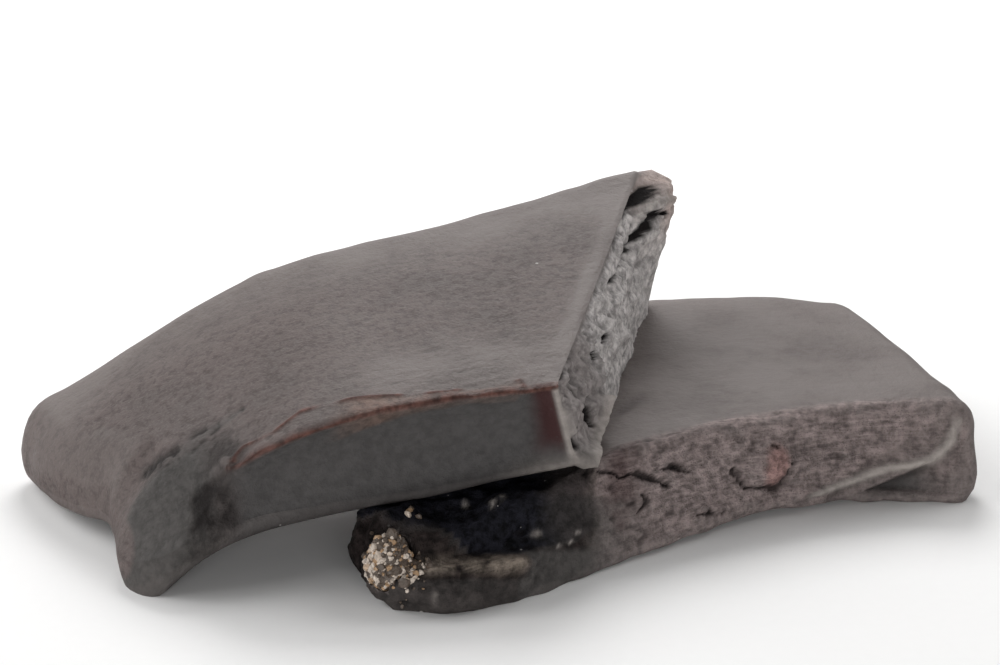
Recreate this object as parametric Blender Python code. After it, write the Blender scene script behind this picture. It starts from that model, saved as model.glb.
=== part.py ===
"""Ozokerite hand specimen: two fused slabs of natural mineral wax, with a crust of mineral grains.

The lower slab lies flat. The upper slab lies slantwise across it: its right end is a broken face that
is fused to the lower slab, and its left end bends down to the ground in a near and a far lobe. The
grains sit in a pocket on the nose of the lower slab.

Each slab is a skin of rings. A ring is a rounded rectangle, and four rails (front top, front bottom,
back top, back bottom) carry it from the left end to the right end. Rings that shrink to a line close
the ends. X runs along the specimen, Y from front to back, Z up, and the ground is at Z = 0.
"""
import math

import bmesh
import bpy
import numpy as np

MM = 0.001                      # the sizes below are in millimetres
MIDDLE = (-0.36, 3.68)           # the x and y of the specimen's middle, in the rails' own numbers

# Upper slab: the corner lines of its rings, from the lobes to the broken end
UPPER = {
    "front_top": [(-29.2, -19.0, 9.0), (-26.8, -19.0, 10.2), (-23.0, -18.6, 12.0), (-18.0, -18.3, 14.4),
                  (-12.5, -17.3, 15.8), (-6.5, -16.2, 16.6), (-0.5, -15.0, 16.9), (4.9, -13.8, 17.1)],
    "front_bottom": [(-29.9, -24.2, -0.6), (-26.3, -21.4, 2.0), (-22.5, -18.9, 3.6), (-18.0, -17.6, 4.8),
                     (-12.5, -16.6, 5.8), (-6.5, -15.7, 6.6), (-0.5, -14.6, 7.6), (6.9, -13.3, 8.8)],
    "back_top": [(-45.4, 8.5, 8.2), (-36.5, 11.0, 13.3), (-28.0, 13.5, 17.6), (-19.0, 16.2, 20.6),
                 (-10.0, 19.0, 22.0), (-1.5, 22.3, 22.9), (6.5, 26.0, 23.7), (14.0, 29.5, 24.3)],
    "back_bottom": [(-43.4, 8.0, 0.5), (-36.0, 11.0, 3.8), (-27.0, 13.5, 7.6), (-18.5, 16.2, 9.8),
                    (-10.0, 19.0, 10.0), (-1.5, 22.3, 9.5), (6.5, 26.0, 8.6), (14.2, 29.3, 8.0)],
    "front_top_radius": [4.8, 3.4, 1.0, 0.6, 0.6, 0.6, 0.6, 0.6],
    "front_bottom_radius": [4.6, 3.6, 2.4, 1.6, 1.4, 1.2, 1.2, 1.2],
    "back_radius": [3.6, 3.6, 3.4, 3.2, 3.0, 2.8, 2.4, 1.2],
    "left_end": (4.2, 4, 1),    # radius of the end's rounded rim, rings on the rim, rings on its flat
    "right_end": (0.5, 1, 7),
}
# Lower slab: from the nose to the right end
LOWER = {
    "front_top": [(-8.5, -22.0, 6.3), (-4.0, -21.8, 6.4), (2.5, -18.0, 7.4), (9.3, -11.5, 9.0),
                  (16.0, -6.7, 9.1), (24.0, -2.6, 9.1), (34.0, 0.8, 9.2), (43.5, 1.8, 9.3)],
    "front_bottom": [(-9.0, -27.3, 0.0), (-4.5, -27.3, 0.0), (2.0, -23.8, 0.0), (9.5, -17.4, 0.3),
                     (16.5, -11.8, 0.8), (24.0, -5.6, 1.0), (34.5, -1.0, 0.6), (44.1, -0.8, 0.0)],
    "back_top": [(-3.0, 24.0, 8.0), (2.0, 26.5, 8.6), (8.0, 29.2, 9.2), (14.5, 32.0, 9.5),
                 (20.0, 33.6, 9.7), (24.6, 34.1, 9.7), (29.4, 33.7, 9.7), (34.0, 32.8, 9.6)],
    "back_bottom": [(-3.0, 24.0, 0.0), (2.0, 26.5, 0.0), (8.0, 29.2, 0.0), (14.5, 32.0, 0.0),
                    (20.0, 33.8, 0.0), (24.6, 34.3, 0.0), (29.4, 33.9, 0.0), (34.4, 33.0, 0.0)],
    "front_top_radius": [2.6, 2.4, 2.0, 1.0, 0.9, 0.9, 1.0, 1.6],
    "front_bottom_radius": [2.6, 2.2, 1.8, 1.4, 1.4, 1.2, 0.8, 0.8],
    "back_radius": [2.4, 2.4, 2.4, 2.2, 2.2, 2.2, 2.2, 2.4],
    "left_end": (3.0, 3, 2),
    "right_end": (3.0, 3, 2),
}
RAILS = ("front_top", "front_bottom", "back_top", "back_bottom")
CORNER_RADII = ("front_top_radius", "back_radius", "back_radius", "front_bottom_radius")

# Points of a ring across its top or bottom, up a side and round a corner, and rings along a slab
ACROSS = 21
UP = 6
CORNER = 3
LENGTHWISE = 26

NODULE = (26.2, 5.2)            # x and z of the round nodule in the front band
RIM_FOOT = (31.0, 0.7)          # x and z of the low end of the rim at the right
RIM_BEND = 0.031                # how the rim rises with the square of x
SOLE = 0.4                      # how far the underside is pressed below the ground before it is cut flat

GRAINS = (-10.0, -22.8, 3.7)    # middle of the crust of grains
GRAINS_SIZE = (2.0, 2.4, 2.6)   # its half sizes
POCKET_GAP = 0.3
SHARP_ANGLE = math.radians(38.0)

WAX_COLOUR = (0.205, 0.176, 0.168, 1.0)
GRAIN_COLOUR = (0.42, 0.33, 0.24, 1.0)


def smoothstep(low, high, value):
    """0 at low, 1 at high and smooth between them; low may be the greater."""
    t = np.clip((value - low) / (high - low), 0.0, 1.0)
    return t * t * (3.0 - 2.0 * t)


def bump(value, middle, width):
    """A smooth hump of height 1."""
    return np.exp(-((value - middle) / width) ** 2)


def noise(points, size, seed):
    """Smooth random values from -1 to 1, with blobs of the given size."""
    lattice = np.random.default_rng(seed).uniform(-1.0, 1.0, (32, 32, 32))
    place = points / size
    cell = np.floor(place).astype(int)
    part = place - cell
    part = part * part * (3.0 - 2.0 * part)
    total = np.zeros(points.shape[:-1])
    for corner in np.ndindex(2, 2, 2):
        weight = np.prod(np.where(corner, part, 1.0 - part), axis=-1)
        at = (cell + corner) % 32
        total += weight * lattice[at[..., 0], at[..., 1], at[..., 2]]
    return total


def rail(values, u):
    """A smooth curve through the values (Catmull-Rom), read at each u from 0 to 1."""
    knots = np.array(values, float).reshape(len(values), -1)
    knots = np.vstack([2.0 * knots[0] - knots[1], knots, 2.0 * knots[-1] - knots[-2]])
    place = np.clip(u, 0.0, 1.0) * (len(values) - 1)
    span = np.minimum(place.astype(int), len(values) - 2)
    t = (place - span)[:, None]
    p0, p1, p2, p3 = (knots[span + k] for k in range(4))
    bend = (2.0 * p0 - 5.0 * p1 + 4.0 * p2 - p3) * t ** 2 + (3.0 * p1 - p0 - 3.0 * p2 + p3) * t ** 3
    return p1 + 0.5 * ((p2 - p0) * t + bend)


def ring_outline(width, thick, radii):
    """Rounded rectangles, one per row, as x across and y up; the front top corner comes first."""
    arcs = []
    for k, (sign_x, sign_y) in enumerate([(-1, 1), (1, 1), (1, -1), (-1, -1)]):
        angle = math.pi - 0.5 * math.pi * (k + np.linspace(0.0, 1.0, CORNER + 1))
        radius = radii[:, k, None]
        x = sign_x * (width[:, None] / 2 - radius) + radius * np.cos(angle)
        y = sign_y * (thick[:, None] / 2 - radius) + radius * np.sin(angle)
        arcs.append(np.stack([x, y], axis=-1))
    pieces = []
    for k, arc in enumerate(arcs):
        start = arc[:, -1:]
        end = arcs[(k + 1) % 4][:, :1]
        steps = np.linspace(0.0, 1.0, (ACROSS if k % 2 == 0 else UP) + 1)[1:-1]
        pieces += [arc, start + (end - start) * steps[None, :, None]]
    return np.concatenate(pieces, axis=1)


def mean_thickness(slab, u):
    """The thickness of a slab, as the mean of its front and its back."""
    front = np.linalg.norm(rail(slab["front_top"], u) - rail(slab["front_bottom"], u), axis=1)
    back = np.linalg.norm(rail(slab["back_top"], u) - rail(slab["back_bottom"], u), axis=1)
    return (front + back) / 2


def end_rings(radius, round_rings, flat_rings, half):
    """Inset, advance and lean of the rings that close an end, from its rim to its middle line."""
    turn = np.linspace(0.0, math.pi / 2, round_rings + 1)[1:]
    flat = np.linspace(radius, half, flat_rings + 1)[1:]
    inset = np.concatenate([radius * (1.0 - np.cos(turn)), flat])
    lean = np.concatenate([turn, np.full(flat_rings, math.pi / 2)])
    return inset, radius * np.sin(lean), lean


def slab_skin(slab):
    """The plain skin of a slab and its outward directions, as rows of ring points.

    u runs along the slab, a from its front (-1) to its back (1) and b from its underside (-1) to its
    top (1). end goes from 0 at the rim of an end to 1 on its face, and is negative at the left end.
    """
    body = np.linspace(0.0, 1.0, LENGTHWISE + 1)
    left_half, right_half = mean_thickness(slab, np.array([0.0, 1.0])) / 2
    left = end_rings(*slab["left_end"], left_half)
    right = end_rings(*slab["right_end"], right_half)
    inset, advance, lean = (np.concatenate([sign * l[::-1], 0.0 * body, r])
                            for sign, l, r in zip((1, -1, -1), left, right))
    u = np.concatenate([0.0 * left[0], body, 1.0 + 0.0 * right[0]])

    width = np.linalg.norm(rail(slab["back_top"], u) - rail(slab["front_top"], u), axis=1)
    thick = mean_thickness(slab, u)
    radii = np.hstack([rail(slab[name], u) for name in CORNER_RADII])
    radii = np.minimum(radii, 0.46 * thick[:, None]) * (1.0 - 2.0 * inset / thick)[:, None]
    outline = ring_outline(width - 2 * inset, thick - 2 * inset, radii)
    a = outline[..., 0] / (width[:, None] / 2)
    b = outline[..., 1] / (thick[:, None] / 2)

    def place(at):
        front_top, front_bottom, back_top, back_bottom = (rail(slab[name], at)[:, None] for name in RAILS)
        across = (1.0 + a[..., None]) / 2
        up = (1.0 + b[..., None]) / 2
        front = front_bottom + (front_top - front_bottom) * up
        back = back_bottom + (back_top - back_bottom) * up
        return front + (back - front) * across

    along = place(np.minimum(u + 0.02, 1.0)) - place(np.maximum(u - 0.02, 0.0))
    along /= np.linalg.norm(along, axis=-1, keepdims=True)
    points = place(u) + along * advance[:, None, None]

    down_rows = np.gradient(points, axis=0)
    round_ring = np.roll(points, -1, axis=1) - np.roll(points, 1, axis=1)
    normal = np.cross(down_rows, round_ring)
    first, last = len(left[0]), len(left[0]) + len(body) - 1
    normal[:first] = normal[first + 1]
    normal[first] = normal[first + 1]
    normal[last:] = normal[last - 1]
    normal /= np.maximum(np.linalg.norm(normal, axis=-1, keepdims=True), 1e-9)
    normal = normal * np.cos(lean)[:, None, None] + along * np.sin(lean)[:, None, None]
    spread = np.ones_like(a)
    return points, normal, along, u[:, None] * spread, a, b, np.sin(lean)[:, None] * spread


def shape_upper(points, normal, along, u, a, b, end):
    """Lobes, front channel and broken end of the upper slab."""
    broken = smoothstep(0.5, 1.0, end)
    skin = 1.0 - broken
    heel = 2.6 * bump(a, -0.22, 0.30) * np.clip(1.0 - u / 0.2, 0.0, 1.0) ** 2
    points = points + along * heel[..., None]
    relief = 0.25 * noise(points, 13.0, 3)
    relief += 0.3 * skin * smoothstep(0.2, 0.8, b) * (1.0 - a ** 2)
    upper_side = smoothstep(-0.4, 0.5, b)
    relief -= 2.0 * upper_side * smoothstep(-0.5, -1.0, a) * smoothstep(0.36, 0.05, u)
    relief -= 1.6 * upper_side * bump(a, -0.50, 0.09) * smoothstep(0.06, 0.0, u)
    relief -= 1.8 * smoothstep(-0.2, -0.9, b) * bump(a, 0.05, 0.45) * smoothstep(0.3, 0.0, u)
    front = skin * smoothstep(-0.9, -0.99, a) * np.clip(1.0 - (b / 0.9) ** 2, 0.0, 1.0)
    relief -= 1.5 * front * smoothstep(0.16, 0.38, u) * smoothstep(1.0, 0.93, u)
    relief += 0.8 * front * smoothstep(0.2, 0.02, u)
    peak = smoothstep(0.5, 0.86, a)
    ledge = smoothstep(0.62 + 0.4 * peak, 0.25 + 0.55 * peak, b)
    relief += broken * ledge * (0.9 + 2.6 * peak * smoothstep(-1.0, 0.5, b))
    fissure = bump(b, 0.66 + 0.08 * np.sin(6.0 * a), 0.14)
    relief -= 1.2 * broken * fissure * smoothstep(-0.6, 0.1, a) * smoothstep(0.98, 0.9, a)
    relief += broken * (0.6 * noise(points, 4.2, 5) + 0.45 * noise(points, 2.0, 6))
    return points + normal * relief[..., None]


def shape_lower(points, normal, along, u, a, b, end):
    """Lumpy nose, rough front band, nodule and recess under the rim of the lower slab, and its sole."""
    x, z = points[..., 0], points[..., 2]
    front = smoothstep(-0.9, -0.99, a) * (1.0 - np.abs(end))
    nose = smoothstep(0.42, 0.24, u) * smoothstep(-0.3, -0.8, a)
    bulge = 3.2 * bump(a, -0.62, 0.17) * np.clip(1.0 - u / 0.15, 0.0, 1.0) ** 2
    points = points - along * bulge[..., None]
    relief = 0.25 * noise(points, 11.0, 11)
    relief += SOLE * smoothstep(-0.85, -1.0, b)
    relief += nose * smoothstep(-1.0, -0.7, b) * (0.9 * noise(points, 4.4, 12) + 0.45 * noise(points, 2.0, 13))
    relief += nose * front * (0.9 * bump(b, -0.2, 0.3) - 0.9 * bump(b, 0.35, 0.25))
    relief += 0.35 * front * noise(points, 2.2, 14)
    relief += 1.3 * front * bump(x, NODULE[0], 2.2) * bump(z, NODULE[1], 1.7)
    past_foot = np.maximum(x - RIM_FOOT[0], 0.0)
    under_rim = smoothstep(0.2, -0.2, z - RIM_FOOT[1] - RIM_BEND * past_foot ** 2)
    recess = front * under_rim * smoothstep(0.0, 4.0, past_foot) * smoothstep(1.0, 0.92, u)
    relief -= 1.2 * recess * smoothstep(-0.98, -0.72, b)
    return points + normal * relief[..., None]


def new_object(name, shape, colour=None, roughness=0.5):
    """An object from a bmesh, with a material, or a wire-only cutter if it has no colour."""
    mesh = bpy.data.meshes.new(name)
    shape.to_mesh(mesh)
    shape.free()
    obj = bpy.data.objects.new(name, mesh)
    bpy.context.collection.objects.link(obj)
    if colour is None:
        obj.hide_render = True
        obj.display_type = "WIRE"
        return obj
    material = bpy.data.materials.new(name)
    material.use_nodes = True
    shader = material.node_tree.nodes["Principled BSDF"]
    shader.inputs["Base Color"].default_value = colour
    shader.inputs["Roughness"].default_value = roughness
    mesh.materials.append(material)
    mesh.shade_smooth()
    mesh.set_sharp_from_angle(angle=SHARP_ANGLE)
    return obj


def slab_mesh(slab, shape):
    """The closed skin of a slab."""
    points = shape(*slab_skin(slab))
    points[..., :2] -= MIDDLE
    skin = bmesh.new()
    rings = [[skin.verts.new(point) for point in row] for row in points * MM]
    for ring, following in zip(rings, rings[1:]):
        for k, vert in enumerate(ring):
            ahead = (k + 1) % len(ring)
            skin.faces.new((vert, ring[ahead], following[ahead], following[k]))
    bmesh.ops.remove_doubles(skin, verts=skin.verts, dist=1e-6)
    bmesh.ops.recalc_face_normals(skin, faces=skin.faces)
    return skin


def grain_mesh(grow):
    """The lumpy crust of grains, grown outward by a distance in mm."""
    crust = bmesh.new()
    bmesh.ops.create_icosphere(crust, subdivisions=3, radius=1.0)
    for vert in crust.verts:
        outward = np.array(vert.co)
        lump = 1.0 + 0.16 * noise(outward * 3.0, 1.3, 21)
        vert.co = (outward * np.array(GRAINS_SIZE) * lump + outward * grow + GRAINS
                   - np.array([*MIDDLE, 0.0])) * MM
    return crust


def ground_mesh():
    """A block under the ground plane, to cut the feet flat."""
    block = bmesh.new()
    bmesh.ops.create_cube(block, size=0.2)
    bmesh.ops.translate(block, verts=block.verts, vec=(0.0, 0.0, -0.1))
    return block


def boolean(obj, operation, other):
    """Join another object to this one, or cut it away."""
    modifier = obj.modifiers.new(other.name, "BOOLEAN")
    modifier.operation = operation
    modifier.solver = "EXACT"
    modifier.object = other


def main():
    for old in list(bpy.data.objects):
        bpy.data.objects.remove(old)
    wax = new_object("ozokerite", slab_mesh(UPPER, shape_upper), WAX_COLOUR, 0.5)
    boolean(wax, "UNION", new_object("lower_slab", slab_mesh(LOWER, shape_lower)))
    boolean(wax, "DIFFERENCE", new_object("ground", ground_mesh()))
    boolean(wax, "DIFFERENCE", new_object("grain_pocket", grain_mesh(POCKET_GAP)))
    new_object("mineral_grains", grain_mesh(0.0), GRAIN_COLOUR, 0.7)


main()
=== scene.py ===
import math
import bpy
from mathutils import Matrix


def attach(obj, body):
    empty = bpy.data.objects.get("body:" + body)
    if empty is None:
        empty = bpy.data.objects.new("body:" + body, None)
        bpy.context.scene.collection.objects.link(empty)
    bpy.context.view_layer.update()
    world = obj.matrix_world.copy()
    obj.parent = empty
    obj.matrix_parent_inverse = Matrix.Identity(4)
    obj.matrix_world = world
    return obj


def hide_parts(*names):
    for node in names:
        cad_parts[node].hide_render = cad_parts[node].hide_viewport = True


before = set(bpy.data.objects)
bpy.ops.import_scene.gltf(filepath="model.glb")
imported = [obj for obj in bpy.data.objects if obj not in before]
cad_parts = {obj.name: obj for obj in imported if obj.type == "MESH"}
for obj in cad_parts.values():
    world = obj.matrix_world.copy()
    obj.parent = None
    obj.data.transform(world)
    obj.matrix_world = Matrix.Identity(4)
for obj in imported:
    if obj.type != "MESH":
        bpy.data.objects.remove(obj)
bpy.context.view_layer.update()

from types import SimpleNamespace

import bmesh
import bpy
import numpy as np

bl_info = {
    "name": "Ozokerite Specimen",
    "version": (1, 0, 0),
    "blender": (4, 5, 0),
    "location": "View3D > Sidebar > Ozokerite",
    "description": "Builds a hand specimen of natural mineral wax with its crust of mineral grains",
    "category": "Add Mesh",
}

MM = 0.001                       # the shapes below are worked out in millimetres
MIDDLE = (-0.36, 3.68)           # x and y of the specimen's middle, in the rails' own numbers

# The corner lines of the two slabs, from the left end to the right end, and the radii of their corners
UPPER = {
    "front_top": [(-29.2, -19.0, 9.0), (-26.8, -19.0, 10.2), (-23.0, -18.6, 12.0), (-18.0, -18.3, 14.4),
                  (-12.5, -17.3, 15.8), (-6.5, -16.2, 16.6), (-0.5, -15.0, 16.9), (4.9, -13.8, 17.1)],
    "front_bottom": [(-29.9, -24.2, -0.6), (-26.3, -21.4, 2.0), (-22.5, -18.9, 3.6), (-18.0, -17.6, 4.8),
                     (-12.5, -16.6, 5.8), (-6.5, -15.7, 6.6), (-0.5, -14.6, 7.6), (6.9, -13.3, 8.8)],
    "back_top": [(-45.4, 8.5, 8.2), (-36.5, 11.0, 13.3), (-28.0, 13.5, 17.6), (-19.0, 16.2, 20.6),
                 (-10.0, 19.0, 22.0), (-1.5, 22.3, 22.9), (6.5, 26.0, 23.7), (14.0, 29.5, 24.3)],
    "back_bottom": [(-43.4, 8.0, 0.5), (-36.0, 11.0, 3.8), (-27.0, 13.5, 7.6), (-18.5, 16.2, 9.8),
                    (-10.0, 19.0, 10.0), (-1.5, 22.3, 9.5), (6.5, 26.0, 8.6), (14.2, 29.3, 8.0)],
    "front_top_radius": [4.8, 3.4, 1.0, 0.6, 0.6, 0.6, 0.6, 0.6],
    "front_bottom_radius": [4.6, 3.6, 2.4, 1.6, 1.4, 1.2, 1.2, 1.2],
    "back_radius": [3.6, 3.6, 3.4, 3.2, 3.0, 2.8, 2.4, 1.2],
    "left_end": 4.2,
    "right_end": 0.5,
}
LOWER = {
    "front_top": [(-8.5, -22.0, 6.3), (-4.0, -21.8, 6.4), (2.5, -18.0, 7.4), (9.3, -11.5, 9.0),
                  (16.0, -6.7, 9.1), (24.0, -2.6, 9.1), (34.0, 0.8, 9.2), (43.5, 1.8, 9.3)],
    "front_bottom": [(-9.0, -27.3, 0.0), (-4.5, -27.3, 0.0), (2.0, -23.8, 0.0), (9.5, -17.4, 0.3),
                     (16.5, -11.8, 0.8), (24.0, -5.6, 1.0), (34.5, -1.0, 0.6), (44.1, -0.8, 0.0)],
    "back_top": [(-3.0, 24.0, 8.0), (2.0, 26.5, 8.6), (8.0, 29.2, 9.2), (14.5, 32.0, 9.5),
                 (20.0, 33.6, 9.7), (24.6, 34.1, 9.7), (29.4, 33.7, 9.7), (34.0, 32.8, 9.6)],
    "back_bottom": [(-3.0, 24.0, 0.0), (2.0, 26.5, 0.0), (8.0, 29.2, 0.0), (14.5, 32.0, 0.0),
                    (20.0, 33.8, 0.0), (24.6, 34.3, 0.0), (29.4, 33.9, 0.0), (34.4, 33.0, 0.0)],
    "front_top_radius": [2.6, 2.4, 2.0, 1.0, 0.9, 0.9, 1.0, 1.6],
    "front_bottom_radius": [2.6, 2.2, 1.8, 1.4, 1.4, 1.2, 0.8, 0.8],
    "back_radius": [2.4, 2.4, 2.4, 2.2, 2.2, 2.2, 2.2, 2.4],
    "left_end": 3.0,
    "right_end": 3.0,
}
RAILS = ("front_top", "front_bottom", "back_top", "back_bottom")
CORNER = 5                       # steps round a corner of a ring

NODULE = (25.3, 5.2)             # x and z of the round nodule in the front band
NODULE_SIZE = (2.7, 2.3)         # its half sizes
RIM_FOOT = (31.0, 0.7)           # x and z of the low end of the recess at the right
RIM_BEND = 0.031                 # how its upper edge rises with the square of x
SOLE = 0.4                       # how far the underside is pressed below the ground before it is cut flat
POCKET = (-10.0, -22.8, 3.7)     # middle of the pocket for the grains
POCKET_SIZE = (2.0, 2.4, 2.6)    # its half sizes
POCKET_GAP = 0.3                 # between the crust of grains and the pocket
CRUST_GRID = (24, 48)            # rings and points to a ring of the crust, and of a single grain
GRAIN_GRID = (6, 8)
GRAIN_PLANES = 7                 # flat faces that a grain is cut to
JOINED_LENGTH = 91.0             # the two slabs together are longer than this, and either alone is shorter
LOBE_SMOOTHING = 30              # times that the near lobe is relaxed

HALF_WIDTH = 21.7                # from the middle of the upper slab to its front edge
UPPER_LENGTH = 60.0              # along the upper slab
BREAK_HALF_HEIGHT = 6.15         # from the middle of the broken end to its top
BREAK_RISE = 2.0                 # how much more that is at the back, and less at the front
# Lines on the upper slab. The fold between the lobes: along, across, half width
FOLD = ((-1.0, -10.4, 0.6), (0.5, -11.5, 1.1), (3.1, -13.3, 1.3), (7.1, -13.6, 1.2), (11.2, -13.2, 1.1),
        (14.6, -12.6, 0.9), (18.0, -12.0, 0.4))
# The thin arm of the lip: along, distance from the front edge
LIP_ARM = ((13.5, 1.2), (17.0, 1.9), (19.5, 1.5), (22.0, 1.3), (24.0, 2.3), (25.8, 3.2), (31.5, 2.8),
           (36.0, 2.1), (41.0, 1.3), (49.0, 1.5), (54.5, 1.9), (55.5, 0.6))
ARM_WIDTH = 0.30                 # its half width
# Lines on the broken end, as a, b and half width
BREAK_CRACKS = (
    ((0.874, 0.93, 0.25), (0.80, 0.885, 0.40), (0.734, 0.876, 0.40), (0.66, 0.92, 0.45), (0.56, 0.92, 0.20)),
    ((0.92, 0.45, 0.12), (0.76, 0.64, 0.30), (0.711, 0.66, 0.35), (0.682, 0.598, 0.42), (0.635, 0.533, 0.35),
     (0.556, 0.537, 0.35), (0.329, 0.60, 0.45), (0.20, 0.55, 0.30), (0.10, 0.68, 0.15)),
    ((-0.12, 0.36, 0.30), (-0.14, 0.28, 0.35)),
    ((-0.25, 0.33, 0.20), (-0.32, 0.31, 0.20)),
    ((-0.44, 0.48, 0.22), (-0.49, 0.40, 0.28)),
    ((0.17, -0.62, 0.25), (0.12, -0.68, 0.25)),
    ((-0.84, 0.66, 0.15), (-0.83, 0.44, 0.28), (-0.83, 0.20, 0.25)),
    ((-0.83, 0.12, 0.35), (-0.775, -0.165, 0.80), (-0.73, -0.40, 0.55), (-0.70, -0.60, 0.30)),
    ((-0.97, -0.10, 0.20), (-0.985, -0.38, 0.42), (-0.98, -0.55, 0.20)),
)
SHELF = ((0.94, 0.54, 0.30), (0.82, 0.74, 0.40), (0.75, 0.80, 0.40), (0.70, 0.72, 0.30))
FLAKE = ((-0.62, -0.25, 0.30), (-0.65, -0.70, 0.50), (-0.78, -0.90, 0.55), (-0.93, -0.86, 0.60),
         (-1.0, -0.88, 0.6))
# Lines on the front of the lower slab, as x, z and half width
BAND_CRACKS = (
    ((12.9, 7.0, 0.34), (14.0, 6.4, 0.32), (14.95, 6.0, 0.22), (15.9, 5.4, 0.10)),
    ((15.2, 6.95, 0.08), (16.3, 6.85, 0.22), (17.0, 6.6, 0.20), (17.9, 6.2, 0.10)),
    ((7.7, 8.3, 0.10), (10.0, 8.0, 0.12), (11.3, 7.2, 0.12), (12.9, 7.0, 0.10)),
    ((13.2, 5.3, 0.10), (13.6, 4.6, 0.26), (13.1, 4.1, 0.10)),
    ((22.1, 5.3, 0.22), (22.5, 4.3, 0.17), (23.3, 3.55, 0.16), (24.7, 3.35, 0.12), (25.8, 2.95, 0.26),
     (26.6, 2.80, 0.34), (27.3, 4.0, 0.20), (27.7, 4.9, 0.08)),
    ((25.6, 7.0, 0.12), (26.1, 6.7, 0.28)),
    ((18.6, 2.4, 0.08), (19.9, 2.1, 0.20), (21.1, 1.8, 0.10)),
)
RIM = ((29.5, 1.6, 0.15), (31.6, 1.9, 0.35), (33.6, 2.3, 0.40), (35.8, 2.9, 0.45), (37.5, 3.4, 0.45),
       (39.5, 3.6, 0.45), (41.4, 4.1, 0.50), (42.4, 4.8, 0.50), (43.5, 6.0, 0.50), (44.0, 7.6, 0.35))
# The lower limit of the glossy black on the nose, which is black wax and painted shadow under the upper slab:
# x, and the height z plus SLANT times y
SLANT = 0.364
NOSE_BLACK = ((-11.8, -0.7), (-8.5, -1.1), (-5.5, -1.5), (-2.8, -3.5), (2.1, -4.0), (4.1, -3.5), (7.4, -3.0),
              (9.2, -0.8), (11.0, 1.4))
# Painted glints on the nose, in place of sparkles of light: x, the slanted height and the half width
PAINTED_GLINTS = ((-3.2, 0.75, 0.22), (-0.6, 0.45, 0.24), (0.3, 0.9, 0.20), (3.5, -2.1, 0.32), (5.3, -3.4, 0.20),
          (6.4, -3.1, 0.18), (7.1, -2.2, 0.22), (-5.8, -8.0, 0.26), (-7.1, -4.0, 0.22), (-6.6, -5.1, 0.24))
# The shallow hollow in the top skin of the lower slab, darkened by painted shade:
# x, distance from the front edge, half width
SKIN_HOLE = ((11.6, 11.0, 1.0), (12.8, 12.4, 1.2))

# The grains scattered round the pocket: how far their middle is from its middle, and how far they spread
SCATTER_SHIFT = (0.3, -0.3, 0.6)
SCATTER_SIZE = (1.8, 2.8, 2.7)
# Each light's place, width and height in metres, and the point that they all face
LIGHTS = {
    "back": ((0.0, 0.42, 0.33), 0.22, 0.22),
    "right": ((0.35, 0.25, 0.30), 0.40, 0.40),
    "left_back": ((-0.35, 0.25, 0.30), 0.40, 0.40),
    "left": ((-0.50, 0.0, 0.25), 0.40, 0.40),
    "front": ((0.0, -0.60, 0.11), 0.60, 0.20),
}
LIT_POINT = (0.0, 0.0, 0.01)
LOOK_AT = (0.00036, -0.00368, 0.0173)   # the point that the camera faces
FLOOR_HALF = 2.0                 # half the side of the floor
# The marks that the slabs give to their points and the material reads
MARKS = ("broken", "peak", "channel", "lip", "lip_bright", "red", "pale", "bloom", "shade", "band", "nodule",
         "black", "brown", "crevice")


# ---- Sizes, colours and settings ----


def length(name, description, default):
    """A length that a user can change."""
    return bpy.props.FloatProperty(name=name, description=description, default=default, min=0.0,
                                   unit="LENGTH", precision=5)


def colour(name, description, default):
    """A colour that a user can change, as linear red, green and blue."""
    return bpy.props.FloatVectorProperty(name=name, description=description, default=default, size=3,
                                         min=0.0, max=1.0, subtype="COLOR")


def factor(name, description, default, high=1.0):
    """A plain number that a user can change."""
    return bpy.props.FloatProperty(name=name, description=description, default=default, min=0.0, max=high)


class OzokeriteSizes(bpy.types.PropertyGroup):
    lip: length("Lip", "Height of the reddish lip on the front edge", 0.00022)
    ledge: length("Ledges", "Height of the rounded lumps on the broken end", 0.00034)
    fissure: length("Fissure", "Depth of the cracks in the broken end", 0.0012)
    flake: length("Flake", "Height of the curled flake on the broken end", 0.0012)
    fibre: length("Fibres", "Depth of the fibrous front band", 0.00013)
    crack: length("Cracks", "Depth of the cracks in the front band", 0.0005)
    nodule: length("Nodule", "Height of the round nodule", 0.0011)
    rim: length("Rim", "Height of the smooth rim at the right", 0.00045)
    streak: length("Streaks", "Depth of the lengthwise streaks on the skin", 0.00003)
    grain: length("Grain", "Mean size of a mineral grain", 0.00042)
    grain_count: bpy.props.IntProperty(name="Grains", description="Number of grains set in the crust",
                                       default=380, min=1, max=600)
    scattered_count: bpy.props.IntProperty(name="Scattered grains", description="Number of grains round it",
                                           default=190, min=1, max=400)


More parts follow.
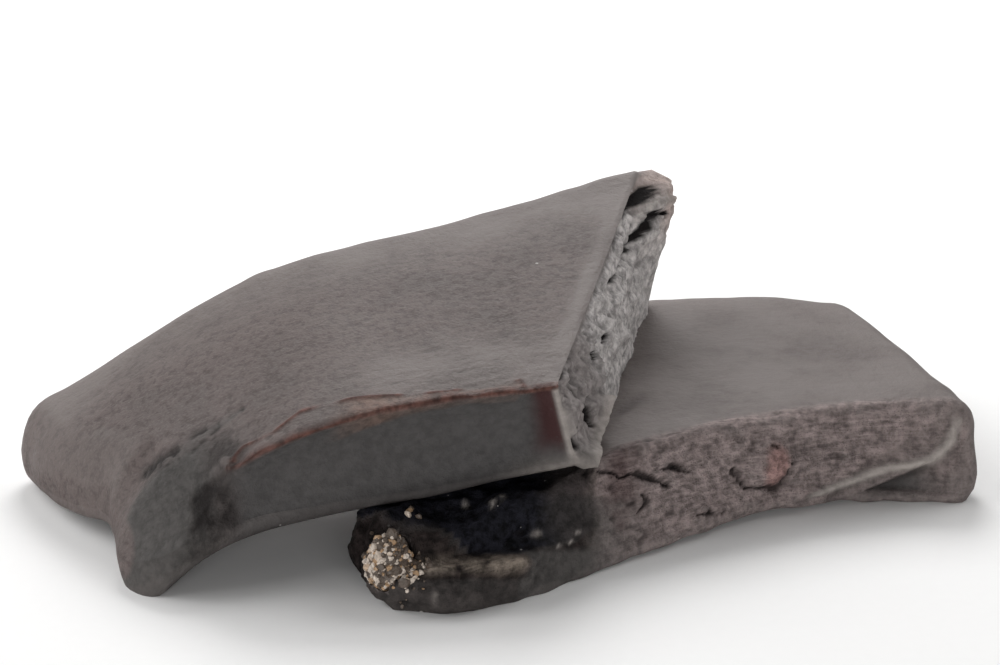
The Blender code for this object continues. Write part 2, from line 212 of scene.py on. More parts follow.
class OzokeriteColours(bpy.types.PropertyGroup):
    skin: colour("Skin", "Smooth skin of the wax", (0.122, 0.098, 0.093))
    # Pale bloom, also used as painted light on the tops of the slabs and on convex edges
    bloom: colour("Bloom", "Pale bloom on the skin", (0.190, 0.168, 0.160))
    # Grey wax, used also as painted shade on the near lobe's front face and in the fold between the lobes
    shade: colour("Grey wax", "Grey wax of the near lobe", (0.074, 0.069, 0.066))
    # Painted shade on the concave front face, the underside at the front edge and the recess under the rim
    channel: colour("Channel", "Dark concave front face", (0.074, 0.070, 0.069))
    lip: colour("Lip", "Reddish lip of the front edge", (0.090, 0.042, 0.034))
    # Painted highlight behind the lip, in tan
    lip_bright: colour("Lip highlight", "Tan wax behind the lip", (0.160, 0.102, 0.080))
    patch: colour("Red patch", "Translucent reddish patch by the flake", (0.050, 0.024, 0.024))
    broken: colour("Broken wax", "Granular broken end", (0.600, 0.565, 0.552))
    peak: colour("Peak", "Brown block at the top of the broken end", (0.520, 0.425, 0.392))
    band: colour("Front band", "Rough brown front band", (0.245, 0.199, 0.191))
    nodule: colour("Nodule", "Pinkish nodule", (0.300, 0.190, 0.176))
    rim: colour("Rim", "Smooth pale rim", (0.360, 0.325, 0.300))
    # Black wax of the nose, also painted shadow where the upper slab hangs over it
    black: colour("Nose", "Glossy black wax of the nose", (0.004, 0.004, 0.0055))
    brown: colour("Nose brown", "Dark brown wax of the nose", (0.021, 0.016, 0.015))
    ridge: colour("Nose ridge", "Pale ridge on the nose", (0.205, 0.170, 0.140))
    # Painted shade deep in the cracks, pits, nicks and the fold, and under the lip
    crevice: colour("Crevice", "Dirt deep in the cracks", (0.010, 0.008, 0.008))
    # White specks of dust, and painted glints on the black nose
    dust_and_glint: colour("Dust", "White specks of dust", (0.45, 0.43, 0.41))
    pale_grain: colour("Pale grains", "Quartz-like grains", (0.74, 0.64, 0.55))
    gold_grain: colour("Golden grains", "Stained grains", (0.47, 0.30, 0.17))
    dark_grain: colour("Dark grains", "Wax-covered grains", (0.110, 0.080, 0.060))


class OzokeriteStage(bpy.types.PropertyGroup):
    floor: colour("Floor", "Colour of the floor", (0.87, 0.865, 0.86))
    sky: factor("Surround", "Strength of the white surround", 0.08, 5.0)
    back: factor("Back light", "Power of the main light above and behind, in watts", 2.15, 50.0)
    right: factor("Right light", "Power of the soft light behind and to the right, in watts", 1.15, 50.0)
    left_back: factor("Left back light", "Power of the soft light behind and to the left, in watts", 1.65,
                      50.0)
    left: factor("Left light", "Power of the soft light at the left, in watts", 1.10, 50.0)
    front: factor("Front light", "Power of the low light in front, in watts", 2.05, 50.0)
    lens: bpy.props.FloatProperty(name="Lens", description="Focal length of the camera", default=120.0,
                                  min=20.0, subtype="DISTANCE_CAMERA")
    elevation: bpy.props.FloatProperty(name="Elevation", description="Angle of the camera above the ground",
                                       default=math.radians(20.0), subtype="ANGLE")
    distance: length("Distance", "From the camera to the point it looks at", 0.316667)


# ---- Mathematics of the surfaces ----


def ramp(low, high, value):
    """A smooth step: 0 at low and 1 at high; low may be the greater."""
    t = np.clip((value - low) / (high - low), 0.0, 1.0)
    return t * t * (3.0 - 2.0 * t)


def bump(value, middle, width):
    """A smooth hump of height 1."""
    return np.exp(-((value - middle) / width) ** 2)


def clamped(value):
    """The value, held between 0 and 1."""
    return np.clip(value, 0.0, 1.0)


def unit(vectors):
    """The vectors, each divided by its own length."""
    return vectors / np.linalg.norm(vectors, axis=-1, keepdims=True)


def noise(points, size, seed):
    """Smooth random values from -1 to 1, with blobs of the given size: a lattice read with smooth weights."""
    lattice = np.random.default_rng(seed).uniform(-1.0, 1.0, (32, 32, 32))
    place = points / size
    cell = np.floor(place).astype(int)
    part = place - cell
    part = part * part * (3.0 - 2.0 * part)
    total = np.zeros(points.shape[:-1])
    for corner in np.ndindex(2, 2, 2):
        weight = np.prod(np.where(corner, part, 1.0 - part), axis=-1)
        at = (cell + corner) % 32
        total += weight * lattice[at[..., 0], at[..., 1], at[..., 2]]
    return total


def rough(points, size, seed, layers=3):
    """Layers of noise, each of half the size and 0.55 of the height of the one before."""
    return sum(0.55 ** k * noise(points + 7.3 * k, size * 0.5 ** k, seed + k) for k in range(layers))


def lumps(points, size, seed):
    """Rounded lumps with sharp creases between them: the size of the noise without its sign."""
    return 2.0 * np.abs(noise(points, size, seed)) - 0.5


def streaked(flow, stretch, size, seed):
    """Noise drawn out along the slab."""
    return noise(flow / np.array([stretch, 1.0, 1.0]), size, seed)


def uneven(points, share):
    """The moulded look of a hidden side: broad and middling noise, by its share."""
    return share * (0.34 * noise(points, 6.0, 15) + 0.17 * noise(points, 2.6, 16))


def rail(values, u):
    """A smooth curve through the values (Catmull-Rom), read at each u from 0 to 1."""
    knots = np.array(values, float).reshape(len(values), -1)
    knots = np.vstack([2.0 * knots[0] - knots[1], knots, 2.0 * knots[-1] - knots[-2]])
    place = np.clip(u, 0.0, 1.0) * (len(values) - 1)
    span = np.minimum(place.astype(int), len(values) - 2)
    t = (place - span)[:, None]
    p0, p1, p2, p3 = (knots[span + k] for k in range(4))
    bend = (2.0 * p0 - 5.0 * p1 + 4.0 * p2 - p3) * t ** 2 + (3.0 * p1 - p0 - 3.0 * p2 + p3) * t ** 3
    return p1 + 0.5 * ((p2 - p0) * t + bend)


def graded(count, *marks):
    """Steps from 0 to 1 whose density follows the marks, each a place and a density."""
    at, density = np.array(marks, float).T
    fine = np.linspace(0.0, 1.0, 2001)
    total = np.concatenate([[0.0], np.cumsum(np.interp((fine[:-1] + fine[1:]) / 2, at, density))])
    return np.interp(np.linspace(0.0, total[-1], count + 1), total, fine)


def drawn(x, y, *paths):
    """1 on some lines and 0 away from them. Each point of a path is an x, a y and a half width."""
    strength = np.zeros(x.shape)
    for (x0, y0, w0), (x1, y1, w1) in (pair for path in paths for pair in zip(path, path[1:])):
        dx, dy = x1 - x0, y1 - y0
        t = clamped(((x - x0) * dx + (y - y0) * dy) / (dx * dx + dy * dy))
        distance = np.hypot(x - x0 - t * dx, y - y0 - t * dy)
        strength = np.maximum(strength, bump(distance, 0.0, w0 + t * (w1 - w0)))
    return strength


def ring_outline(width, thick, radii, steps):
    """Rounded rectangles, one per row: an arc at each corner and straight steps between them."""
    arcs = []
    for k, (sign_x, sign_y) in enumerate([(-1, 1), (1, 1), (1, -1), (-1, -1)]):
        angle = math.pi - 0.5 * math.pi * (k + np.linspace(0.0, 1.0, CORNER + 1))
        radius = radii[:, k, None]
        x = sign_x * (width[:, None] / 2 - radius) + radius * np.cos(angle)
        y = sign_y * (thick[:, None] / 2 - radius) + radius * np.sin(angle)
        arcs.append(np.stack([x, y], axis=-1))
    pieces = []
    for k, arc in enumerate(arcs):
        start = arc[:, -1:]
        end = arcs[(k + 1) % 4][:, :1]
        pieces += [arc, start + (end - start) * steps[k][1:-1][None, :, None]]
    return np.concatenate(pieces, axis=1)


def mean_thickness(slab, u):
    """The thickness of a slab, as the mean of its front and its back."""
    front = np.linalg.norm(rail(slab["front_top"], u) - rail(slab["front_bottom"], u), axis=1)
    back = np.linalg.norm(rail(slab["back_top"], u) - rail(slab["back_bottom"], u), axis=1)
    return (front + back) / 2


def end_rings(radius, round_rings, flat_rings, half):
    """Inset, advance and lean of the rings that close an end: a quarter circle, then flat to the middle."""
    turn = np.linspace(0.0, math.pi / 2, round_rings + 1)[1:]
    flat = np.linspace(radius, half, flat_rings + 1)[1:]
    inset = np.concatenate([radius * (1.0 - np.cos(turn)), flat])
    lean = np.concatenate([turn, np.full(flat_rings, math.pi / 2)])
    return inset, radius * np.sin(lean), lean


def slab_skin(slab, body, steps, left_rings, right_rings):
    """The plain skin of a slab: rounded rectangles carried by four rails, closed by shrinking rings.

    u runs along the slab, a from its front (-1) to its back (1) and b from its underside (-1) to its
    top (1). end goes from 0 at the rim of an end to 1 on its face, and is negative at the left end.
    flow is the place in the slab if it were straight: along, across and up, in millimetres.
    """
    left_half, right_half = mean_thickness(slab, np.array([0.0, 1.0])) / 2
    left = end_rings(slab["left_end"], *left_rings, left_half)
    right = end_rings(slab["right_end"], *right_rings, right_half)
    inset, advance, lean = (np.concatenate([sign * l[::-1], 0.0 * body, r])
                            for sign, l, r in zip((1, -1, -1), left, right))
    u = np.concatenate([0.0 * left[0], body, 1.0 + 0.0 * right[0]])

    width = np.linalg.norm(rail(slab["back_top"], u) - rail(slab["front_top"], u), axis=1)
    thick = mean_thickness(slab, u)
    corners = ("front_top", "back", "back", "front_bottom")
    radii = np.hstack([rail(slab[name + "_radius"], u) for name in corners])
    radii = np.minimum(radii, 0.46 * thick[:, None]) * (1.0 - 2.0 * inset / thick)[:, None]
    outline = ring_outline(width - 2 * inset, thick - 2 * inset, radii, steps)
    a = outline[..., 0] / (width[:, None] / 2)
    b = outline[..., 1] / (thick[:, None] / 2)

    def place(at):
        front_top, front_bottom, back_top, back_bottom = (rail(slab[name], at)[:, None] for name in RAILS)
        across = (1.0 + a[..., None]) / 2
        up = (1.0 + b[..., None]) / 2
        front = front_bottom + (front_top - front_bottom) * up
        back = back_bottom + (back_top - back_bottom) * up
        return front + (back - front) * across

    along = unit(place(np.minimum(u + 0.02, 1.0)) - place(np.maximum(u - 0.02, 0.0)))
    points = place(u) + along * advance[:, None, None]

    rows = np.gradient(points, axis=0)
    ring = np.roll(points, -1, axis=1) - np.roll(points, 1, axis=1)
    normal = np.cross(rows, ring)
    first, last = len(left[0]), len(left[0]) + len(body) - 1
    normal[:first] = normal[first + 1]
    normal[first] = normal[first + 1]
    normal[last:] = normal[last - 1]
    normal /= np.maximum(np.linalg.norm(normal, axis=-1, keepdims=True), 1e-9)
    normal = normal * np.cos(lean)[:, None, None] + along * np.sin(lean)[:, None, None]

    middle = (rail(slab["front_top"], u) + rail(slab["back_bottom"], u)) / 2
    steps_along = np.linalg.norm(np.diff(middle, axis=0), axis=1)
    distance = np.concatenate([[0.0], np.cumsum(steps_along)]) + advance
    one = np.ones_like(a)
    flow = np.stack([distance[:, None] * one, outline[..., 0], outline[..., 1]], axis=-1)
    return SimpleNamespace(
        points=points, normal=normal, along=along, u=u[:, None] * one, a=a, b=b,
        end=np.sin(lean)[:, None] * one, flow=flow,
        from_front=(1.0 + a) * width[:, None] / 2, from_top=(1.0 - b) * thick[:, None] / 2)


def relaxed(points, share, times, last):
    """Rows of ring points, each moved its share of the way to the mean of its four neighbours, many times.

    Across the seam that closes the first row, a point's neighbour is the mirrored point of the second row;
    last is the number of the point that mirrors point 0.
    """
    mirror = (last - np.arange(points.shape[1])) % points.shape[1]
    for _ in range(times):
        rows = np.concatenate([points[1:2, mirror], points, points[-1:]])
        mean = (rows[:-2] + rows[2:] + np.roll(points, 1, axis=1) + np.roll(points, -1, axis=1)) / 4
        points = points + share[..., None] * (mean - points)
    return points


def on_break(a, b):
    """Millimetres across and up on the broken end, which is taller at its back."""
    return a * HALF_WIDTH, b * (BREAK_HALF_HEIGHT + BREAK_RISE * a)


def break_lines(*paths):
    """Lines on the broken end in millimetres, from their a, b and half widths."""
    return [[(*on_break(a, b), width) for a, b, width in path] for path in paths]


def upper_in_the_large(s, skin, last):
    """The lobes of the upper slab and the channel along its front. last is given to relaxed.

    Returns the points, and how far each is in the channel.
    """
    u, a, b = s.u, s.a, s.b
    heel = 2.6 * bump(a, -0.22, 0.30) * clamped(1.0 - u / 0.2) ** 2
    points = s.points + s.along * heel[..., None]
    relief = 0.25 * noise(points, 13.0, 3)
    hidden = np.maximum(ramp(0.78, 0.97, a), clamped(-s.end) * (a > -0.3))
    relief += uneven(points, skin * hidden)
    relief += 0.3 * skin * ramp(0.2, 0.8, b) * (1.0 - a ** 2)
    upper_side = ramp(-0.4, 0.5, b)
    relief -= 2.0 * upper_side * ramp(0.36, 0.05, u) * ramp(-0.5, -1.0, a)
    relief -= 1.3 * upper_side * bump(a, -0.50, 0.12) * ramp(0.06, 0.0, u)
    relief -= 1.8 * ramp(-0.2, -0.9, b) * bump(a, 0.05, 0.45) * ramp(0.3, 0.0, u)
    trough = skin * ramp(-0.9, -0.99, a) * clamped(1.0 - (b / 0.9) ** 2)
    relief -= 1.5 * trough * ramp(0.16, 0.38, u) * ramp(1.0, 0.93, u)
    relief += skin * ramp(-0.7, -1.0, a) * clamped(1.0 - b ** 2) * ramp(0.25, 0.02, u)
    at_lobe = skin * ramp(0.30, 0.14, u) * ramp(-0.30, -0.55, a) * ramp(-0.75, -0.25, b)
    return relaxed(points + s.normal * relief[..., None], at_lobe, LOBE_SMOOTHING, last), trough


def front_lip(s, points, skin, trough, wander, sizes):
    """The lip: a low welt on the front edge, a thin arm behind it, painted tan highlight between, a line
    below with painted shadow.
    """
    u, b = s.u, s.b
    upper_edge = skin * ramp(0.2, 0.6, b)
    width = 0.24 + 0.07 * noise(points, 2.0, 43)
    welt = upper_edge * ramp(0.19, 0.25, u) * bump(s.from_top + 0.6 * wander, 0.30, width)
    welt *= ramp(-0.94, -0.965, s.a)
    length_mm = u * UPPER_LENGTH
    arm = skin * ramp(0.8, 0.99, b)
    arm *= drawn(length_mm, s.from_front + wander, [(*place, ARM_WIDTH) for place in LIP_ARM])
    arm *= ramp(-0.6, 0.1, noise(points, 2.6, 44))
    arm_place = np.interp(length_mm, *np.array(LIP_ARM).T)
    between = upper_edge * ramp(arm_place + 0.2, arm_place - 0.4, s.from_front + s.from_top + wander)
    between *= ramp(0.47, 0.53, u)
    below = trough * bump(b, 0.80, 0.10) * ramp(0.25, 0.4, u) * ramp(1.0, 0.9, u)
    relief = sizes.lip / MM * (welt + 0.7 * arm) - 0.18 * below
    return relief, clamped(np.maximum(welt, arm)), between, below


def lobe_fold(s, points, skin, wander):
    """The pitted fold between the lobes, darkened with painted shade, and the rough patch on the front of the
    near lobe.
    """
    upper_side = ramp(-0.4, 0.5, s.b)
    along_mm = UPPER_LENGTH * (s.u + 0.07 * np.minimum(s.end, 0.0))
    fold = upper_side * drawn(along_mm, s.a * HALF_WIDTH + 1.6 * wander, FOLD)
    fold = np.maximum(fold, 0.75 * upper_side * bump(s.u, 0.23, 0.07) * bump(s.from_front, 3.2, 2.2))
    pitting = ramp(-0.30, 0.35, noise(points, 1.0, 55) + 0.6 * noise(points, 0.5, 76))
    patch = bump(s.u, 0.17, 0.10) * ramp(-0.84, -0.97, s.a) * ramp(-0.95, -0.3, s.b) * skin
    patch = ramp(0.1, 0.75, patch + 0.4 * noise(points, 2.4, 49) * (patch > 0.02))
    relief = patch * (0.24 * rough(points, 1.2, 50) - 0.12) - fold * (0.03 + 0.17 * pitting)
    return relief, fold, pitting, patch


def skin_texture(s, points, skin, sizes):
    """Streaks along the skin, and small nicks."""
    streaks = streaked(s.flow, 9.0, 1.3, 45) + 0.6 * streaked(s.flow, 12.0, 0.55, 46)
    nicks = ramp(0.62, 0.8, streaked(s.flow, 3.0, 0.6, 47)) * skin * ramp(0.8, 0.99, s.b)
    nicks *= bump(s.u, 0.51, 0.05) * bump(s.a, -0.03, 0.12) + 0.35 * ramp(0.2, 0.5, noise(points, 9.0, 48))
    return sizes.streak / MM * skin * streaks - 0.14 * nicks, nicks


def broken_end(s, points, broken, sizes):
    """The broken end: a rind under the top edge, granular wax with cracks and hollows, a smoother flank
    below it, and the flake that curls out of its lower front corner.
    """
    a, b = s.a, s.b
    place = np.stack(on_break(a, b))
    peak = ramp(0.5, 0.86, a)
    ledge = ramp(0.62 + 0.4 * peak, 0.25 + 0.55 * peak, b)
    relief = broken * ledge * (0.9 + 2.6 * peak * ramp(-1.0, 0.5, b))
    relief += broken * (0.6 * noise(points, 4.2, 5) + 0.3 * noise(points, 2.0, 6))
    relief -= 0.7 * broken * ramp(0.84, 1.0, b) * (0.8 + 0.5 * noise(points, 1.8, 75))
    flank_line = -0.45 + 0.55 * ramp(0.35, 0.75, a)
    core = broken * ramp(flank_line - 0.1, flank_line + 0.15, b + 0.1 * noise(points, 2.5, 57))
    core *= ramp(0.99, 0.86, b)
    relief += core * (0.42 * rough(points, 1.4, 53) + sizes.ledge / MM * lumps(points, 1.9, 52))
    relief += broken * (0.08 + 0.12 * core) * rough(points, 0.7, 58)
    uneven_place = place + 0.30 * noise(points, 1.5, 51) + 0.15 * noise(points, 0.7, 56)
    cracks = broken * drawn(*uneven_place, *break_lines(*BREAK_CRACKS))
    shelf = broken * drawn(*uneven_place, *break_lines(SHELF))
    hollows = broken * ramp(0.25, 0.6, noise(points, 1.1, 77)) * (0.35 + 0.65 * ramp(-0.3, -0.65, a))
    flake = ramp(0.2, 0.7, s.end) * drawn(*place, *break_lines(FLAKE))
    relief += 0.55 * shelf + sizes.flake / MM * flake - sizes.fissure / MM * cracks - 0.42 * hollows
    return relief, cracks, hollows, shelf, flake


def upper_slab(sizes):
    """Points, flow and marks of the upper slab: its plain skin, moved out and in along its normals."""
    across = graded(104, (0.0, 3.2), (0.05, 2.6), (0.2, 1.0), (1.0, 0.8))
    front_up = graded(44, (0.0, 1.4), (0.5, 1.0), (1.0, 2.2))
    steps = [across, graded(16, (0.0, 1.0), (1.0, 1.0)), 1.0 - across[::-1], front_up]
    body = graded(146, (0.0, 1.3), (0.3, 1.1), (0.9, 1.0), (1.0, 1.6))
    s = slab_skin(UPPER, body, steps, (8, 6), (3, 40))
    u, a, b = s.u, s.a, s.b
    broken = ramp(0.5, 1.0, s.end)
    skin = 1.0 - broken
    points, trough = upper_in_the_large(s, skin, a.shape[1] + 1 - len(front_up))

    wander = 0.25 * noise(points, 3.0, 41) + 0.12 * noise(points, 1.2, 42)
    lip_relief, lip, between, under_lip = front_lip(s, points, skin, trough, wander, sizes)
    fold_relief, fold, pitting, patch = lobe_fold(s, points, skin, wander)
    skin_relief, nicks = skin_texture(s, points, skin, sizes)
    break_relief, cracks, hollows, shelf, flake = broken_end(s, points, broken, sizes)
    foot = skin * ramp(0.84, 0.985, u) * ramp(-0.95, -1.0, a) * bump(b, -0.9, 0.16)
    upright = skin * bump(u, 1.0, 0.006) * ramp(-0.97, -1.0, a) * ramp(-0.9, -0.6, b)
    relief = lip_relief + fold_relief + skin_relief + break_relief + 0.30 * foot + 0.15 * upright
    points = points + s.normal * relief[..., None]

    # Painted shade on the channel under the lip and on the underside at the front edge
    under_edge = ramp(-0.6, -0.9, b) * ramp(-0.5, -0.85, a)
    channel = np.maximum(ramp(-0.85, -0.97, a) * ramp(0.97, 0.80, b), under_edge)
    channel *= skin * ramp(0.14, 0.3, u)
    red = skin * ramp(-0.93, -0.99, a) * ramp(0.92, 0.965, u + 0.04 * wander) * ramp(1.0, 0.99, u)
    # The near lobe's face, which faces the front, gets painted shade
    near_lobe = ramp(0.30, 0.12, u) * ramp(-0.52, -0.70, a) * ramp(-1.0, -0.93, s.end)
    patchy = 0.5 + 0.5 * noise(points, 1.6, 59)
    marks = {
        "broken": broken * (0.5 + 0.5 * ramp(0.99, 0.92, b)) * (1.0 - 0.72 * ramp(-0.35, -0.66, a)),
        "peak": broken * ramp(0.62, 0.92, a + 0.12 * noise(points, 2.0, 54)) * ramp(0.0, 0.5, b),
        "channel": channel,
        "lip": lip,
        # Painted highlight behind the lip
        "lip_bright": between * (0.4 + 0.6 * patchy) * (
            0.85 * bump(u, 0.60, 0.075) + 0.35 * ramp(0.66, 0.7, u)),
        "red": red * ramp(-0.8, -0.3, b + 0.5 * wander),
        "pale": clamped(1.1 * flake + foot + 0.8 * upright + 0.7 * shelf),
        # Real bloom near the front edge, and painted light over the top
        "bloom": skin * ramp(0.9, 0.99, b) * clamped(
            0.9 * bump(s.from_front, 6.0, 5.0) * ramp(0.35, 0.75, u) + 0.8 * ramp(0.2, 0.8, a)
            + 0.9 * bump(u, 0.985, 0.02)),
        "shade": skin * np.maximum(near_lobe, 0.7 * fold),
        "brown": 0.25 * broken * ramp(0.86, 0.97, b) + 0.35 * patch,
        # Painted shade in the cracks, hollows, pitted fold, nicks, low channel and under the lip
        "crevice": clamped(ramp(0.08, 0.55, cracks) + 0.4 * hollows + 0.85 * fold * pitting + 0.6 * nicks
                           + 0.45 * channel * ramp(-0.55, -0.9, b) + 0.7 * patch * ramp(0.3, 0.8, patchy)
                           + 0.45 * under_lip * patchy),
    }
    return points, s.flow, marks


def lower_in_the_large(s, nose, off_sole, recess):
    """The lower slab's flat sole, its uneven hidden sides, the lumps of its nose and the recess.

    Returns the points, and how far each moves along its normal.
    """
    a, b = s.a, s.b
    bulge = 3.2 * bump(a, -0.62, 0.17) * clamped(1.0 - s.u / 0.15) ** 2
    points = s.points - s.along * bulge[..., None]
    front = ramp(-0.9, -0.99, a) * (1.0 - np.abs(s.end))
    relief = 0.25 * noise(points, 11.0, 11)
    relief += uneven(points, off_sole * np.maximum(ramp(0.78, 0.97, a), clamped(s.end)))
    relief += SOLE * ramp(-0.85, -1.0, b)
    relief += nose * off_sole * (0.9 * noise(points, 4.4, 12) + 0.45 * noise(points, 2.0, 13))
    relief += nose * front * (0.9 * bump(b, -0.2, 0.3) - 0.9 * bump(b, 0.35, 0.25))
    relief += 0.35 * front * noise(points, 2.2, 14)
    return points, relief - 0.9 * front * recess


def rough_band(s, points, face, recess, off_sole, sizes):
    """The rough band: layered lumps drawn out along it, gaps and cracks that open between them, the
    nodule and the pits beside it.
    """
    u, x, z = s.u, s.points[..., 0], s.points[..., 2]
    band = face * ramp(0.36, 0.46, u) * ramp(31.5, 28.5, x - 1.6 * z) * (1.0 - recess)
    upper_band = face * ramp(0.80, 0.86, u) * ramp(-0.1, 0.3, s.b)
    band = np.maximum(band, 0.55 * np.maximum(upper_band, face * ramp(0.46, 0.5, u) * (1.0 - recess)))
    fibres = streaked(s.flow, 2.6, 0.9, 60) + 0.7 * streaked(s.flow, 2.2, 0.45, 61)
    layers = s.flow[..., 2] / 1.1 + 0.07 * s.flow[..., 0] + 0.8 * noise(points, 2.8, 70)
    layer = layers - np.floor(layers)
    relief = band * off_sole * 0.14 * (ramp(0.0, 0.25, layer) - layer) * ramp(0.36, 0.46, u)
    relief += sizes.fibre / MM * band * off_sole * (0.45 * fibres + 1.1 * rough(points, 1.5, 62)
                                                    + 0.5 * rough(points, 0.6, 73))
    gaps = band * ramp(22.0, 12.0, x) * ramp(0.35, 0.7, streaked(s.flow, 2.2, 0.7, 78))
    wander = 0.16 * noise(points, 0.9, 63) + 0.10 * noise(points, 0.45, 71)
    cracks = face * drawn(x + wander, z + wander, *BAND_CRACKS)
    round_nodule = np.hypot((x - NODULE[0]) / NODULE_SIZE[0], (z - NODULE[1]) / NODULE_SIZE[1])
    nodule = face * clamped(1.0 - round_nodule ** 2) ** 0.8 * ramp(-3.5, 0.5, x - z - 18.5)
    pits = face * (bump(x, 32.6, 2.6) * bump(z, 5.1, 1.0) + 0.8 * bump(x, 28.6, 1.0) * bump(z, 4.2, 0.9))
    pits *= ramp(0.05, 0.5, noise(points, 0.55, 72))
    relief += sizes.nodule / MM * nodule * (1.0 + 0.35 * noise(points, 1.1, 64))
    relief -= sizes.crack / MM * cracks + 0.16 * gaps * off_sole + 0.18 * pits
    # The last value marks the cracks, gaps and pits for painted shade
    return relief, band, nodule, clamped(ramp(0.1, 0.7, cracks) * face * 0.85 + 0.6 * gaps + 0.5 * pits)


def glossy_nose(s, points, face, nose, slant):
    """The nose: sharp lumps of glossy wax, and a ridge with upright ribs between two grooves."""
    x = s.points[..., 0]
    ridge = nose * face * bump(slant, -5.0, 0.80) * ramp(3.4, 1.8, x)
    ribs = ridge * noise(points * np.array([1.0, 0.3, 0.25]), 0.75, 65)
    grooves = nose * face * (bump(slant, -3.5, 0.35) + 0.7 * bump(slant, -6.4, 0.3)) * ramp(5.0, 2.0, x)
    lumpy_wax = nose * (0.26 * rough(points, 1.1, 66) + 0.10 * rough(points, 0.5, 74))
    return 0.40 * ridge + 0.42 * ribs - 0.35 * grooves + lumpy_wax, ribs


def lower_slab(sizes):
    """Points, normals, flow and marks of the lower slab: its plain skin, moved along its normals."""
    across = graded(76, (0.0, 3.2), (0.06, 2.2), (0.25, 1.0), (1.0, 0.8))
    front_up = graded(50, (0.0, 1.2), (1.0, 1.4))
    steps = [across, graded(14, (0.0, 1.0), (1.0, 1.0)), 1.0 - across[::-1], front_up]
    body = graded(176, (0.0, 1.3), (0.3, 1.1), (0.45, 1.3), (0.8, 1.2), (0.85, 1.0), (1.0, 1.1))
    s = slab_skin(LOWER, body, steps, (8, 7), (8, 7))
    u, a, b = s.u, s.a, s.b
    x, y, z = np.moveaxis(s.points, -1, 0)
    face = ramp(-0.86, -0.97, a) * ramp(1.0, 0.6, np.abs(s.end))
    nose = ramp(0.42, 0.24, u) * ramp(-0.3, -0.8, a)
    top = ramp(0.9, 0.99, b)
    off_sole = ramp(-1.0, -0.7, b)
    past_foot = np.maximum(x - RIM_FOOT[0], 0.0)
    under_rim = ramp(0.2, -0.2, z - RIM_FOOT[1] - RIM_BEND * past_foot ** 2)
    recess = under_rim * ramp(0.0, 4.0, past_foot) * ramp(1.0, 0.92, u) * ramp(-0.98, -0.72, b)
    slant = z + SLANT * y

    points, relief = lower_in_the_large(s, nose, off_sole, recess)
    band_relief, band, nodule, open_parts = rough_band(s, points, face, recess, off_sole, sizes)
    nose_relief, ribs = glossy_nose(s, points, face, nose, slant)
    rim = ramp(-0.8, -0.95, a) * drawn(x, z, RIM)
    hole = drawn(x, s.from_front, SKIN_HOLE) * top
    relief += band_relief + nose_relief * off_sole + sizes.rim / MM * rim - 0.15 * hole
    relief += 0.025 * top * (1.0 - nose) * streaked(s.flow, 8.0, 1.1, 67)
    points = points + s.normal * relief[..., None]

    soft = 0.35 * noise(points, 1.6, 68) + 0.2 * noise(points, 0.7, 69)
    on_nose = ramp(9.4, 7.4, x + 1.2 * soft) * ramp(-7.0, -11.0, y + soft)
    black_line = np.interp(x, *np.array(NOSE_BLACK).T) + soft
    # Black: the wax's own colour and painted shadow under the upper slab, also on the nose's top
    black = on_nose * np.maximum(ramp(-0.3, 0.3, slant - black_line), ramp(0.93, 0.98, b))
    black *= 1.0 - 0.5 * ramp(2.8, 6.8, x + 1.8 * soft)
    brown = on_nose * (1.0 - black)
    root = face * ramp(18.0, 9.0, x + 2.0 * soft) * ramp(2.0, 0.8, slant + 0.5 * soft)
    ribbed = brown * bump(slant + 0.5 * soft, -5.0, 0.85) * ramp(2.7, 1.7, x) * ramp(-9.6, -8.2, x)
    grey = ramp(1.2, 2.6, x + soft) * ramp(-3.4, -4.2, slant) + 0.5 * ramp(-6.2, -6.6, slant)
    # Painted glints on the nose
    painted_glints = np.maximum.reduce([bump(np.hypot(x - at_x, slant - at_slant), 0.0, size)
                                for at_x, at_slant, size in PAINTED_GLINTS])
    marks = {
        # Painted shade in the recess under the rim
        "channel": 0.6 * face * recess,
        "red": 0.6 * face * bump(u, 0.47, 0.035) * ramp(-0.5, 0.3, b + soft),
        # The pale rim, and painted glints on the nose
        "pale": np.maximum(rim, 0.9 * on_nose * painted_glints),
        # Painted light over the top, strongest where the upper slab's broken end shades it
        "bloom": top * (0.7 + 0.3 * np.maximum(bump(u, 0.62, 0.14) * bump(a, -0.2, 0.5), bump(x, 17.5, 4.0))),
        "shade": clamped(0.7 * face * ramp(0.68, 0.76, u) * ramp(-0.3, -0.6, b) + brown * grey + root),
        "band": np.maximum(band * (1.0 - rim) * (1.0 - on_nose) * (1.0 - 0.65 * root),
                           ribbed * ramp(-0.4, 0.15, ribs + soft)),
        "nodule": ramp(0.15, 0.6, face * bump(x, 26.0, 1.25) * bump(z, 4.9, 1.9) + 0.3 * soft * nodule),
        "black": black,
        "brown": brown * (1.0 - 0.8 * clamped(grey)),
        # Painted shade in the band's cracks, gaps and pits and in the hollow of the skin
        "crevice": clamped(open_parts + 0.3 * hole),
    }
    return points, s.normal, s.flow, marks


# ---- Meshes ----


def write_attribute(mesh, name, values):
    """A number or a vector for each point of a mesh."""
    kind, field = ("FLOAT", "value") if values.ndim == 1 else ("FLOAT_VECTOR", "vector")
    data = mesh.attributes.get(name) or mesh.attributes.new(name, kind, "POINT")
    data.data.foreach_set(field, values.astype(np.float32).ravel())


def read_attribute(mesh, name):
    """The numbers of an attribute, one per point."""
    values = np.zeros(len(mesh.vertices), np.float32)
    mesh.attributes[name].data.foreach_get("value", values)
    return values


def new_object(name, data):
    """An object of some data, in the scene."""
    obj = bpy.data.objects.new(name, data)
    bpy.context.scene.collection.objects.link(obj)
    return obj


